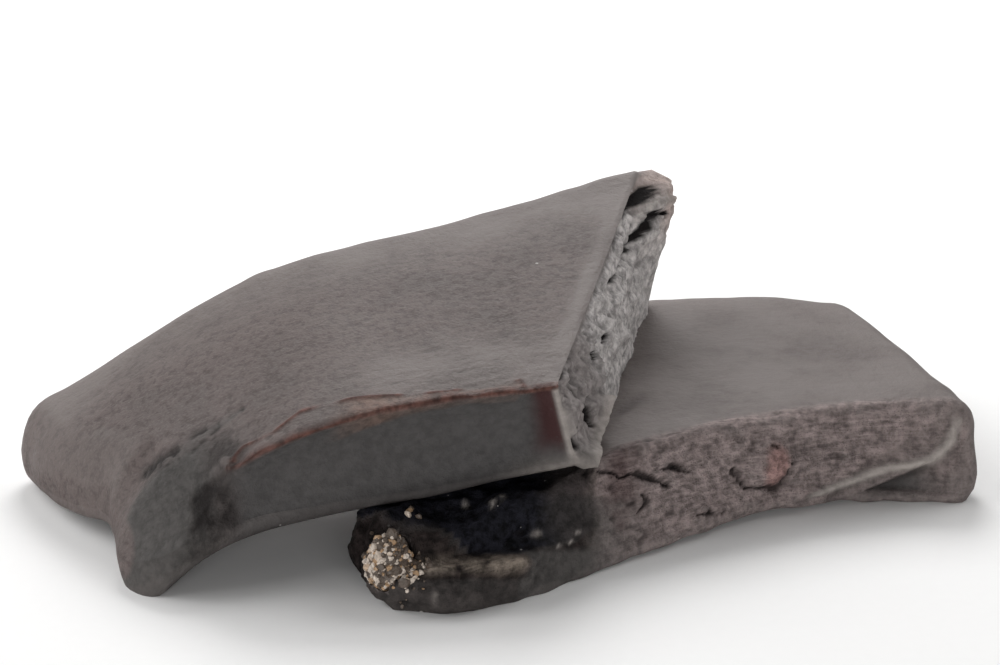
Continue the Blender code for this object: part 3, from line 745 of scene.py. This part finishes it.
def sheet_faces(rows, ring):
    """The faces between rows of ring points, as four point numbers each."""
    row, k = np.meshgrid(np.arange(rows - 1), np.arange(ring), indexing="ij")
    ahead = (k + 1) % ring
    corners = (row * ring + k, row * ring + ahead, (row + 1) * ring + ahead, (row + 1) * ring + k)
    return np.stack(corners, -1).reshape(-1, 4)


def closed_skin(name, points, flow, marks):
    """An object from rows of ring points, with its doubles merged so that both ends close."""
    rows, ring = points.shape[:2]
    points = points.copy()
    points[..., :2] -= MIDDLE
    mesh = bpy.data.meshes.new(name)
    mesh.from_pydata((points.reshape(-1, 3) * MM).tolist(), [], sheet_faces(rows, ring).tolist())
    for mark in MARKS:
        write_attribute(mesh, mark, marks.get(mark, np.zeros((rows, ring))).reshape(-1))
    write_attribute(mesh, "flow", flow.reshape(-1, 3))
    write_attribute(mesh, "made", np.ones(rows * ring))
    merge_doubles(mesh)
    return new_object(name, mesh)


def merge_doubles(mesh):
    """Merges points in the same place and turns the faces outwards."""
    shape = bmesh.new()
    shape.from_mesh(mesh)
    bmesh.ops.remove_doubles(shape, verts=shape.verts, dist=1e-6)
    bmesh.ops.recalc_face_normals(shape, faces=shape.faces)
    shape.to_mesh(mesh)
    shape.free()


def block(name):
    """A block under the ground plane, to cut the feet flat."""
    shape = bmesh.new()
    bmesh.ops.create_cube(shape, size=0.2)
    bmesh.ops.translate(shape, verts=shape.verts, vec=(0.0, 0.0, -0.1))
    mesh = bpy.data.meshes.new(name)
    shape.to_mesh(mesh)
    shape.free()
    return new_object(name, mesh)


def combined(name, first, *others):
    """One mesh from the first object joined with, or cut by, the others, each given with its operation."""
    for operation, other in others:
        modifier = first.modifiers.new(other.name, "BOOLEAN")
        modifier.operation = operation
        modifier.solver = "MANIFOLD"
        modifier.object = other
    evaluated = first.evaluated_get(bpy.context.evaluated_depsgraph_get())
    mesh = bpy.data.meshes.new_from_object(evaluated)
    mesh.name = name
    for obj in (first, *(other for operation, other in others)):
        bpy.data.objects.remove(obj)
    return mesh


def neighbour_mean(edges, values, weight):
    """For each point, the weighted mean over the points that it shares an edge with."""
    total = np.zeros_like(values)
    share = np.zeros(len(values))
    for near, far in ((0, 1), (1, 0)):
        w = weight[edges[:, far]]
        np.add.at(total, edges[:, near], values[edges[:, far]] * (w[:, None] if values.ndim > 1 else w))
        np.add.at(share, edges[:, near], w)
    share = np.maximum(share, 1e-9)
    return total / (share[:, None] if values.ndim > 1 else share)


def mesh_arrays(mesh):
    """The points, the normals and the edges of a mesh, as arrays."""
    points = np.zeros(len(mesh.vertices) * 3, np.float32)
    mesh.vertices.foreach_get("co", points)
    normals = np.zeros(len(mesh.vertices) * 3, np.float32)
    mesh.vertex_normals.foreach_get("vector", normals)
    edges = np.zeros(len(mesh.edges) * 2, np.int32)
    mesh.edges.foreach_get("vertices", edges)
    return points.reshape(-1, 3).astype(float), normals.reshape(-1, 3).astype(float), edges.reshape(-1, 2)


def fill_new_points(mesh):
    """Points that the joining made have no marks yet, so they take the mean of their neighbours'."""
    _, _, edges = mesh_arrays(mesh)
    made = read_attribute(mesh, "made") > 0.5
    for name in MARKS:
        values = read_attribute(mesh, name).astype(float)
        known = made.astype(float)
        for _ in range(3):
            mean = neighbour_mean(edges, values, known)
            values = np.where(known > 0.5, values, mean)
            known = np.maximum(known, neighbour_mean(edges, known, np.ones(len(known))) > 0.0)
        write_attribute(mesh, name, values)


def mark_edges_and_hollows(mesh):
    """Stores where the surface is convex and where it is hollow.

    The points are smoothed along their edges a few times, and how far the surface stands out of or in
    from the smoothed one, in millimetres, gives the marks edge and hollow; the material darkens the hollows
    with painted shade.
    """
    points, normals, edges = mesh_arrays(mesh)
    one = np.ones(len(points))
    smooth = points
    for _ in range(6):
        smooth = 0.5 * smooth + 0.5 * neighbour_mean(edges, smooth, one)
    out = np.sum((points - smooth) * normals, axis=1) / MM
    for _ in range(2):
        out = 0.5 * out + 0.5 * neighbour_mean(edges, out, one)
    write_attribute(mesh, "edge", ramp(0.0, 0.09, out))
    write_attribute(mesh, "hollow", ramp(0.0, 0.09, -out))


def wax_mesh(sizes):
    """The two slabs joined, cut flat at the ground and with the pocket for the grains."""
    upper = closed_skin("upper", *upper_slab(sizes))
    points, _, flow, marks = lower_slab(sizes)
    lower = closed_skin("lower", points, flow, marks)
    pocket = closed_skin("pocket", crust_points(POCKET_GAP), np.zeros((*CRUST_GRID, 3)), {})
    mesh = combined("ozokerite_wax", upper, ("UNION", lower), ("DIFFERENCE", block("ground")),
                    ("DIFFERENCE", pocket))
    fill_new_points(mesh)
    mark_edges_and_hollows(mesh)
    return mesh


def ball(rows, ring):
    """The directions of a ball, in rings of points from pole to pole."""
    polar, turn = np.meshgrid(np.linspace(0.0, math.pi, rows), np.linspace(0.0, 2.0 * math.pi, ring + 1)[:-1],
                              indexing="ij")
    return np.stack([np.sin(polar) * np.cos(turn), np.sin(polar) * np.sin(turn), np.cos(polar)], axis=-1)


def lumpy(outward):
    """The crust's surface round its middle: an ellipsoid, with noise on its radius."""
    return outward * np.array(POCKET_SIZE) * (1.0 + 0.16 * noise(outward * 3.0, 1.3, 21))[..., None]


def crust_points(grow):
    """The rings of the crust in its place, grown outwards by a distance."""
    outward = ball(*CRUST_GRID)
    return lumpy(outward) + outward * grow + POCKET


def grain_mesh(sizes):
    """The crust in the pocket, with angular grains set into it and scattered on the wax round it.

    Each grain is a small ball whose points are pushed flat by random planes, then stretched, turned and
    placed. The mark tint picks its colour.
    """
    random = np.random.default_rng(77)
    outward = random.normal(size=(sizes.grain_count, 3))
    outward[:, 1] = -np.abs(outward[:, 1])
    middle = lumpy(unit(outward)) + POCKET
    points, normal = (part.reshape(-1, 3) for part in lower_slab(sizes)[:2])
    away = np.linalg.norm((points - POCKET - SCATTER_SHIFT) / SCATTER_SIZE, axis=1)
    chance = np.exp(-away ** 2) * (normal[:, 1] < 0.1) * (points[:, 2] > 0.6)
    picked = random.choice(len(points), sizes.scattered_count, replace=False, p=chance / chance.sum())
    middle = np.vstack([middle, points[picked] + 0.04 * normal[picked]])
    count = len(middle)
    radius = sizes.grain / MM / 2.0 * random.lognormal(0.0, 0.45, count)

    grain = np.repeat(ball(*GRAIN_GRID).reshape(1, -1, 3), count, axis=0)
    planes = unit(random.normal(size=(count, GRAIN_PLANES, 3)))
    depth = random.uniform(0.45, 0.8, (count, GRAIN_PLANES))
    for k in range(GRAIN_PLANES):
        over = np.maximum(np.einsum("npc,nc->np", grain, planes[:, k]) - depth[:, k, None], 0.0)
        grain = grain - over[..., None] * planes[:, k][:, None, :]
    stretch = random.uniform(0.75, 1.35, (count, 1, 3))
    turned, _ = np.linalg.qr(random.normal(size=(count, 3, 3)))
    turned[np.linalg.det(turned) < 0.0, :, 0] *= -1.0
    grain = np.einsum("npc,nck->npk", grain * stretch, turned) * radius[:, None, None] + middle[:, None, :]
    tint = clamped(random.uniform(0.0, 1.0, count) + 0.07 * (middle[:, 0] - POCKET[0]))

    crust = crust_points(0.0)
    first = np.arange(count)[:, None, None] * grain.shape[1]
    faces = np.vstack([(sheet_faces(*GRAIN_GRID)[None] + first).reshape(-1, 4),
                       sheet_faces(*CRUST_GRID) + grain.shape[0] * grain.shape[1]])
    crust = crust.reshape(-1, 3)
    points = np.vstack([grain.reshape(-1, 3), crust])
    points[:, :2] -= MIDDLE
    mesh = bpy.data.meshes.new("mineral_grain_crust")
    mesh.from_pydata((points * MM).tolist(), [], faces.tolist())
    write_attribute(mesh, "tint", np.concatenate([np.repeat(tint, grain.shape[1]), np.full(len(crust), 0.9)]))
    merge_doubles(mesh)
    return mesh


# ---- Shader nodes ----


class Tree:
    """Adds nodes to a node tree and joins them. A value may be a number, a colour or another output."""

    def __init__(self, tree):
        self.tree = tree

    def put(self, socket, value):
        if isinstance(value, bpy.types.NodeSocket):
            self.tree.links.new(value, socket)
        elif value is not None:
            socket.default_value = value

    def add(self, kind, values=None, out=0, **settings):
        node = self.tree.nodes.new("ShaderNode" + kind)
        for name, value in settings.items():
            setattr(node, name, value)
        for name, value in (values or {}).items():
            self.put(node.inputs[name], value)
        return node.outputs[out]

    def math(self, operation, first, second=None, clamp=False):
        node = self.tree.nodes.new("ShaderNodeMath")
        node.operation = operation
        node.use_clamp = clamp
        self.put(node.inputs[0], first)
        self.put(node.inputs[1], second)
        return node.outputs[0]

    def times(self, first, second):
        return self.math("MULTIPLY", first, second)

    def plus(self, first, second, clamp=False):
        return self.math("ADD", first, second, clamp)

    def most(self, first, second, clamp=False):
        return self.math("MAXIMUM", first, second, clamp)

    def scaled(self, vector, factors):
        node = self.tree.nodes.new("ShaderNodeVectorMath")
        node.operation = "MULTIPLY"
        self.put(node.inputs[0], vector)
        self.put(node.inputs[1], factors)
        return node.outputs[0]

    def between(self, value, low, high, to_low=0.0, to_high=1.0):
        """Maps low to to_low and high to to_high, smoothly."""
        return self.add("MapRange", {"Value": value, "From Min": low, "From Max": high, "To Min": to_low,
                                     "To Max": to_high}, interpolation_type="SMOOTHSTEP")

    def blend(self, share, first, second, mode="MIX"):
        """The second colour over the first."""
        node = self.tree.nodes.new("ShaderNodeMix")
        node.data_type = "RGBA"
        node.blend_type = mode
        node.clamp_factor = True
        self.put(node.inputs[0], share)
        for socket, value in ((node.inputs[6], first), (node.inputs[7], second)):
            self.put(socket, value if isinstance(value, bpy.types.NodeSocket) else (*value[:3], 1.0))
        return node.outputs[2]

    def mark(self, name):
        return self.add("Attribute", out="Fac", attribute_name=name, attribute_type="GEOMETRY")

    def noise(self, vector, scale, detail=3.0, roughness=0.5):
        return self.add("TexNoise", {"Vector": vector, "Scale": scale, "Detail": detail,
                                     "Roughness": roughness}, out="Fac")

    def group(self, group, values, out=0):
        node = self.tree.nodes.new("ShaderNodeGroup")
        node.node_tree = group
        for name, value in values.items():
            self.put(node.inputs[name], value)
        return node.outputs[out] if out is not None else node


def new_group(name, inputs, outputs):
    """An empty node group with named inputs and outputs; returns its tree and its two end nodes."""
    group = bpy.data.node_groups.new(name, "ShaderNodeTree")
    for socket_name, kind, default in inputs:
        socket = group.interface.new_socket(socket_name, in_out="INPUT", socket_type="NodeSocket" + kind)
        if default is not None:
            socket.default_value = default
    for socket_name, kind in outputs:
        group.interface.new_socket(socket_name, in_out="OUTPUT", socket_type="NodeSocket" + kind)
    given = group.nodes.new("NodeGroupInput")
    result = group.nodes.new("NodeGroupOutput")
    return Tree(group), given.outputs, result.inputs


def streak_group():
    """Long thin streaks along the slab: noise on the flow place, drawn out by the length."""
    t, given, result = new_group("Lengthwise Streaks", [("Flow", "Vector", None), ("Length", "Float", 12.0),
                                                        ("Width", "Float", 0.5)], [("Streaks", "Float")])
    long_share = t.math("DIVIDE", 1.0, given["Length"])
    thin_share = t.math("DIVIDE", 1.0, given["Width"])
    factors = t.add("CombineXYZ", {"X": long_share, "Y": thin_share, "Z": thin_share})
    t.put(result["Streaks"], t.noise(t.scaled(given["Flow"], factors), 1.0, 4.0, 0.6))
    return t.tree


def grain_group():
    """Fine grain and open pores: layered noise, and the dark middles of small cells."""
    t, given, result = new_group("Grain And Pores", [("Place", "Vector", None), ("Size", "Float", 0.0004)],
                                 [("Grain", "Float"), ("Pores", "Float")])
    scale = t.math("DIVIDE", 1.0, given["Size"])
    t.put(result["Grain"], t.noise(given["Place"], scale, 5.0, 0.62))
    cells = t.add("TexVoronoi", {"Vector": given["Place"], "Scale": scale}, out="Distance")
    t.put(result["Pores"], t.between(cells, 0.28, 0.10))
    return t.tree


def speck_group():
    """Scattered specks: the middles of a few cells, picked at random by the cell's colour."""
    t, given, result = new_group("Scattered Specks", [("Place", "Vector", None), ("Spacing", "Float", 0.002),
                                                      ("Radius", "Float", 0.1), ("Share", "Float", 0.3)],
                                 [("Specks", "Float")])
    scale = t.math("DIVIDE", 1.0, given["Spacing"])
    cells = t.tree.nodes.new("ShaderNodeTexVoronoi")
    t.put(cells.inputs["Vector"], given["Place"])
    t.put(cells.inputs["Scale"], scale)
    near = t.math("LESS_THAN", cells.outputs["Distance"], given["Radius"])
    pick = t.add("SeparateColor", {"Color": cells.outputs["Color"]}, out="Red")
    t.put(result["Specks"], t.times(near, t.math("LESS_THAN", pick, given["Share"])))
    return t.tree


def worn_lit_edge_group():
    """Worn edges with painted highlights on convex edges: the edge mark, broken up by noise."""
    t, given, result = new_group("Worn Edges", [("Edge", "Float", 0.0), ("Place", "Vector", None),
                                                ("Size", "Float", 0.001)], [("Wear", "Float")])
    scale = t.math("DIVIDE", 1.0, given["Size"])
    patchy = t.noise(given["Place"], scale, 3.0, 0.6)
    t.put(result["Wear"], t.between(t.plus(given["Edge"], patchy), 0.75, 1.45))
    return t.tree


def node_groups():
    """The node groups that the materials share, made once."""
    makers = {"Lengthwise Streaks": streak_group, "Grain And Pores": grain_group,
              "Scattered Specks": speck_group, "Worn Edges": worn_lit_edge_group}
    return {name: bpy.data.node_groups.get(name) or make() for name, make in makers.items()}


def new_material(name):
    """A material with a Principled BSDF; returns the material, its tree and the shader's inputs."""
    material = bpy.data.materials.new(name)
    material.use_nodes = True
    shader = material.node_tree.nodes["Principled BSDF"]
    return material, Tree(material.node_tree), shader.inputs


def wax_material(colours):
    """Dark satin wax: its colour, gloss and relief follow the marks of the surface."""
    groups = node_groups()
    material, t, shader = new_material("ozokerite_wax")
    place = t.add("TexCoord", out="Object")
    flow = t.add("Attribute", out="Vector", attribute_name="flow", attribute_type="GEOMETRY")
    m = {name: t.mark(name) for name in MARKS + ("edge", "hollow")}
    streaks = t.group(groups["Lengthwise Streaks"], {"Flow": flow, "Length": 9.0, "Width": 0.30})
    broad = t.group(groups["Lengthwise Streaks"], {"Flow": flow, "Length": 16.0, "Width": 3.0})
    fibres = t.group(groups["Lengthwise Streaks"], {"Flow": flow, "Length": 2.6, "Width": 0.32})
    fine = t.group(groups["Grain And Pores"], {"Place": place, "Size": 0.00028}, None)
    coarse = t.group(groups["Grain And Pores"], {"Place": place, "Size": 0.0009}, None)
    specks = t.group(groups["Scattered Specks"], {"Place": place, "Spacing": 0.0034, "Radius": 0.045,
                                                  "Share": 0.22})
    glints = t.group(groups["Scattered Specks"], {"Place": place, "Spacing": 0.0011, "Radius": 0.12,
                                                  "Share": 0.16})
    edge_wear_and_light = t.group(groups["Worn Edges"], {"Edge": m["edge"], "Place": place, "Size": 0.0008})
    clouds = t.noise(place, 130.0, 4.0, 0.55)

    def toned(base, low, high, share):
        """A colour that varies between a low and a high share of its base."""
        return t.blend(share, [low * c for c in base], [high * c for c in base])

    coarse_tone = t.between(coarse.outputs["Grain"], 0.3, 0.7)
    fibre_tone = t.between(t.plus(t.times(fibres, 0.35), t.times(coarse.outputs["Grain"], 0.65)), 0.34, 0.66)
    skin_tone = t.between(t.plus(t.times(streaks, 0.5), t.times(broad, 0.5)), 0.34, 0.68)

    # The skin: streaks, clouds, dark mottling, and bloom where it is thick, with painted light on the tops
    skin = toned(colours.skin, 0.92, 1.08, skin_tone)
    clouded = [share * c for share, c in zip((0.84, 0.90, 0.90), colours.skin)]
    skin = t.blend(t.between(clouds, 0.52, 0.36, 0.0, 0.6), skin, clouded)
    skin = t.blend(t.between(coarse.outputs["Grain"], 0.54, 0.36, 0.0, 0.85), skin,
                   [0.62 * share for share in colours.skin])
    skin = t.blend(t.between(fine.outputs["Grain"], 0.45, 0.75, 0.0, 0.40), skin, colours.bloom)
    bloom = t.plus(t.times(t.between(clouds, 0.42, 0.75), 0.30),
                   t.times(m["bloom"], t.between(clouds, 0.25, 0.6, 0.5, 1.0)), clamp=True)
    full = t.blend(t.times(bloom, 0.9), skin, colours.bloom)

    # The other colours in turn, each by its share and, where it is mottled, between two tones
    rough_areas = t.most(m["broken"], m["band"])
    pores = t.times(rough_areas, t.times(fine.outputs["Pores"], 0.35))
    layers = (
        (m["shade"], colours.shade, 0.8, 1.25, coarse_tone),
        (m["channel"], colours.channel, 0.85, 1.15, coarse_tone),
        (m["band"], colours.band, 0.50, 1.45, fibre_tone),
        (m["broken"], colours.broken, 0.50, 1.25, coarse_tone),
        (m["peak"], colours.peak, 0.75, 1.25, coarse_tone),
        (t.times(m["red"], t.between(coarse.outputs["Grain"], 0.15, 0.40)), colours.patch),
        # Paler convex edges: wear and painted highlight
        (t.times(edge_wear_and_light, 0.25), colours.bloom),
        # Black wax and painted shadow
        (m["black"], colours.black, 0.4, 4.5, coarse_tone),
        (m["brown"], colours.brown, 0.35, 1.7, coarse_tone),
        (t.times(m["brown"], m["band"]), colours.ridge, 0.45, 1.5, fibre_tone),
        # Pale flake, rim and ledges, and painted glints on the nose
        (t.times(m["pale"], 0.85), colours.rim, 0.85, 1.15, coarse_tone),
        (m["nodule"], colours.nodule, 0.55, 1.4, coarse_tone),
        (m["lip_bright"], colours.lip_bright, 0.6, 1.4, coarse_tone),
        (m["lip"], colours.lip, 0.5, 1.6, coarse_tone),
        # Painted shade in the cracks, pores and hollows
        (t.most(m["crevice"], t.most(pores, t.times(m["hollow"], 0.45))), colours.crevice),
        (t.times(specks, 0.7), colours.dust_and_glint),
        # Painted glints on the black nose
        (t.times(glints, t.times(m["black"], 0.8)), colours.dust_and_glint),
    )
    for share, colour_value, *tones in layers:
        full = t.blend(share, full, toned(colour_value, *tones) if tones else colour_value)
    t.put(shader["Base Color"], full)

    gloss = t.add("CombineColor", {"Red": t.between(streaks, 0.3, 0.75, 0.50, 0.58)})
    for share, roughness in ((rough_areas, 0.78), (m["pale"], 0.45), (m["brown"], 0.62), (m["black"], 0.55)):
        gloss = t.blend(share, gloss, (roughness, 0.0, 0.0))
    t.put(shader["Roughness"], t.add("SeparateColor", {"Color": gloss}, out="Red"))
    t.put(shader["Coat Weight"], t.times(m["black"], glints))
    shader["Coat Roughness"].default_value = 0.12
    shader["IOR"].default_value = 1.42
    shader["Specular IOR Level"].default_value = 0.08

    smooth_relief = t.plus(t.times(streaks, 0.16), t.times(fine.outputs["Grain"], 0.50))
    smooth_relief = t.plus(smooth_relief, t.times(coarse.outputs["Grain"], 1.30))
    rough_relief = t.plus(t.times(fine.outputs["Grain"], 1.3), t.times(coarse.outputs["Grain"], 2.4))
    rough_relief = t.math("SUBTRACT", rough_relief, t.times(fine.outputs["Pores"], 0.4))
    rough_relief = t.plus(rough_relief, t.times(t.times(fibres, 1.4), m["band"]))
    rough_share = t.most(rough_areas, t.most(t.times(m["black"], 0.9), t.times(m["brown"], 0.8)), clamp=True)
    height = t.plus(t.times(rough_relief, rough_share),
                    t.times(smooth_relief, t.math("SUBTRACT", 1.0, rough_share)))
    t.put(shader["Normal"], t.add("Bump", {"Height": height, "Strength": 1.0, "Distance": 0.00016}))
    return material


def grain_material(colours):
    """Quartz-like, stained and wax-covered grains, picked by the mark tint."""
    groups = node_groups()
    material, t, shader = new_material("mineral_grains")
    place = t.add("TexCoord", out="Object")
    tint = t.mark("tint")
    fine = t.group(groups["Grain And Pores"], {"Place": place, "Size": 0.00022}, None)
    shade = t.between(fine.outputs["Grain"], 0.3, 0.7)
    full = t.blend(t.between(tint, 0.34, 0.44), colours.pale_grain, colours.gold_grain)
    full = t.blend(t.between(tint, 0.60, 0.66), full, colours.dark_grain)
    full = t.blend(t.times(shade, 0.45), full, colours.brown, "MULTIPLY")
    t.put(shader["Base Color"], full)
    t.put(shader["Roughness"], t.between(fine.outputs["Grain"], 0.2, 0.8, 0.25, 0.6))
    shader["IOR"].default_value = 1.54
    t.put(shader["Normal"], t.add("Bump", {"Height": fine.outputs["Grain"], "Strength": 1.0,
                                           "Distance": 0.00008}))
    return material


def floor_material(stage):
    """Matt white paper."""
    material, t, shader = new_material("paper")
    place = t.add("TexCoord", out="Object")
    tooth = t.noise(place, 900.0, 2.0)
    low, high = ([share * c for c in stage.floor] for share in (0.99, 1.01))
    t.put(shader["Base Color"], t.blend(tooth, low, high))
    shader["Roughness"].default_value = 0.9
    shader["Specular IOR Level"].default_value = 0.1
    return material


# ---- Operators ----


def add_piece(mesh, material, node, sharp_angle):
    """Shows a finished mesh in place of a CAD node, on the root body."""
    mesh.materials.clear()
    mesh.materials.append(material)
    mesh.shade_smooth()
    mesh.set_sharp_from_angle(angle=sharp_angle)
    obj = new_object(mesh.name, mesh)
    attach(obj, "root")
    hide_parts(node)
    return obj


class OZOKERITE_OT_wax(bpy.types.Operator):
    """Build the two fused slabs of wax."""
    bl_idname = "ozokerite.wax"
    bl_label = "Build Wax"

    def execute(self, context):
        scene = context.scene
        mesh = wax_mesh(scene.ozokerite_sizes)
        if not len(mesh.polygons) or np.ptp(mesh_arrays(mesh)[0][:, 0]) < JOINED_LENGTH * MM:
            raise RuntimeError("the slabs could not be joined")
        add_piece(mesh, wax_material(scene.ozokerite_colours), "ozokerite", math.radians(50.0))
        return {"FINISHED"}


class OZOKERITE_OT_grains(bpy.types.Operator):
    """Build the crust of mineral grains on the nose."""
    bl_idname = "ozokerite.grains"
    bl_label = "Build Grains"

    def execute(self, context):
        scene = context.scene
        mesh = grain_mesh(scene.ozokerite_sizes)
        material = grain_material(scene.ozokerite_colours)
        add_piece(mesh, material, "mineral_grains", math.radians(20.0))
        return {"FINISHED"}


def area_light(name, place, width, height, power):
    """A soft light that faces the specimen."""
    light = bpy.data.lights.new(name, "AREA")
    light.shape = "RECTANGLE"
    light.size, light.size_y = width, height
    light.energy = power
    obj = new_object(name, light)
    obj.location = place
    direction = np.array(LIT_POINT) - np.array(place)
    pitch = math.acos(-direction[2] / np.linalg.norm(direction))
    obj.rotation_euler = (pitch, 0.0, math.atan2(direction[1], direction[0]) - math.pi / 2)
    return obj


class OZOKERITE_OT_stage(bpy.types.Operator):
    """Set up the floor, the soft light and the camera."""
    bl_idname = "ozokerite.stage"
    bl_label = "Build Stage"

    def execute(self, context):
        scene = context.scene
        stage = scene.ozokerite_stage
        mesh = bpy.data.meshes.new("floor")
        corners = [(x * FLOOR_HALF, y * FLOOR_HALF, 0.0) for x, y in ((-1, -1), (1, -1), (1, 1), (-1, 1))]
        mesh.from_pydata(corners, [], [(0, 1, 2, 3)])
        mesh.materials.append(floor_material(stage))
        new_object("floor", mesh)

        world = bpy.data.worlds.new("surround")
        world.use_nodes = True
        background = world.node_tree.nodes["Background"]
        background.inputs["Color"].default_value = (1.0, 1.0, 1.0, 1.0)
        background.inputs["Strength"].default_value = stage.sky
        scene.world = world
        for name, (place, width, height) in LIGHTS.items():
            area_light(name, place, width, height, getattr(stage, name))

        scene.view_settings.view_transform = "Standard"
        camera = new_object("camera", bpy.data.cameras.new("camera"))
        camera.data.lens = stage.lens
        camera.data.sensor_width = 36.0
        camera.data.clip_start = 0.01
        back = np.array([0.0, -math.cos(stage.elevation), math.sin(stage.elevation)])
        camera.location = np.array(LOOK_AT) + back * stage.distance
        camera.rotation_euler = (math.pi / 2 - stage.elevation, 0.0, 0.0)
        scene.camera = camera
        return {"FINISHED"}


class OZOKERITE_PT_panel(bpy.types.Panel):
    """Sizes, colours and the building steps of the specimen."""
    bl_label = "Ozokerite"
    bl_idname = "OZOKERITE_PT_panel"
    bl_space_type = "VIEW_3D"
    bl_region_type = "UI"
    bl_category = "Ozokerite"

    def draw(self, context):
        layout = self.layout
        for title, group, steps in (("Sizes", context.scene.ozokerite_sizes, ("wax", "grains")),
                                    ("Colours", context.scene.ozokerite_colours, ()),
                                    ("Stage", context.scene.ozokerite_stage, ("stage",))):
            box = layout.box()
            box.label(text=title)
            for name in group.bl_rna.properties.keys():
                if name not in ("rna_type", "name"):
                    box.prop(group, name)
            for step in steps:
                box.operator("ozokerite." + step)


CLASSES = (OzokeriteSizes, OzokeriteColours, OzokeriteStage, OZOKERITE_OT_wax, OZOKERITE_OT_grains,
           OZOKERITE_OT_stage, OZOKERITE_PT_panel)


def register():
    for cls in CLASSES:
        bpy.utils.register_class(cls)
    bpy.types.Scene.ozokerite_sizes = bpy.props.PointerProperty(type=OzokeriteSizes)
    bpy.types.Scene.ozokerite_colours = bpy.props.PointerProperty(type=OzokeriteColours)
    bpy.types.Scene.ozokerite_stage = bpy.props.PointerProperty(type=OzokeriteStage)


def unregister():
    for name in ("ozokerite_sizes", "ozokerite_colours", "ozokerite_stage"):
        delattr(bpy.types.Scene, name)
    for cls in reversed(CLASSES):
        bpy.utils.unregister_class(cls)


def main():
    register()
    bpy.ops.ozokerite.wax()
    bpy.ops.ozokerite.grains()
    bpy.ops.ozokerite.stage()


if __name__ == "__main__":
    main()
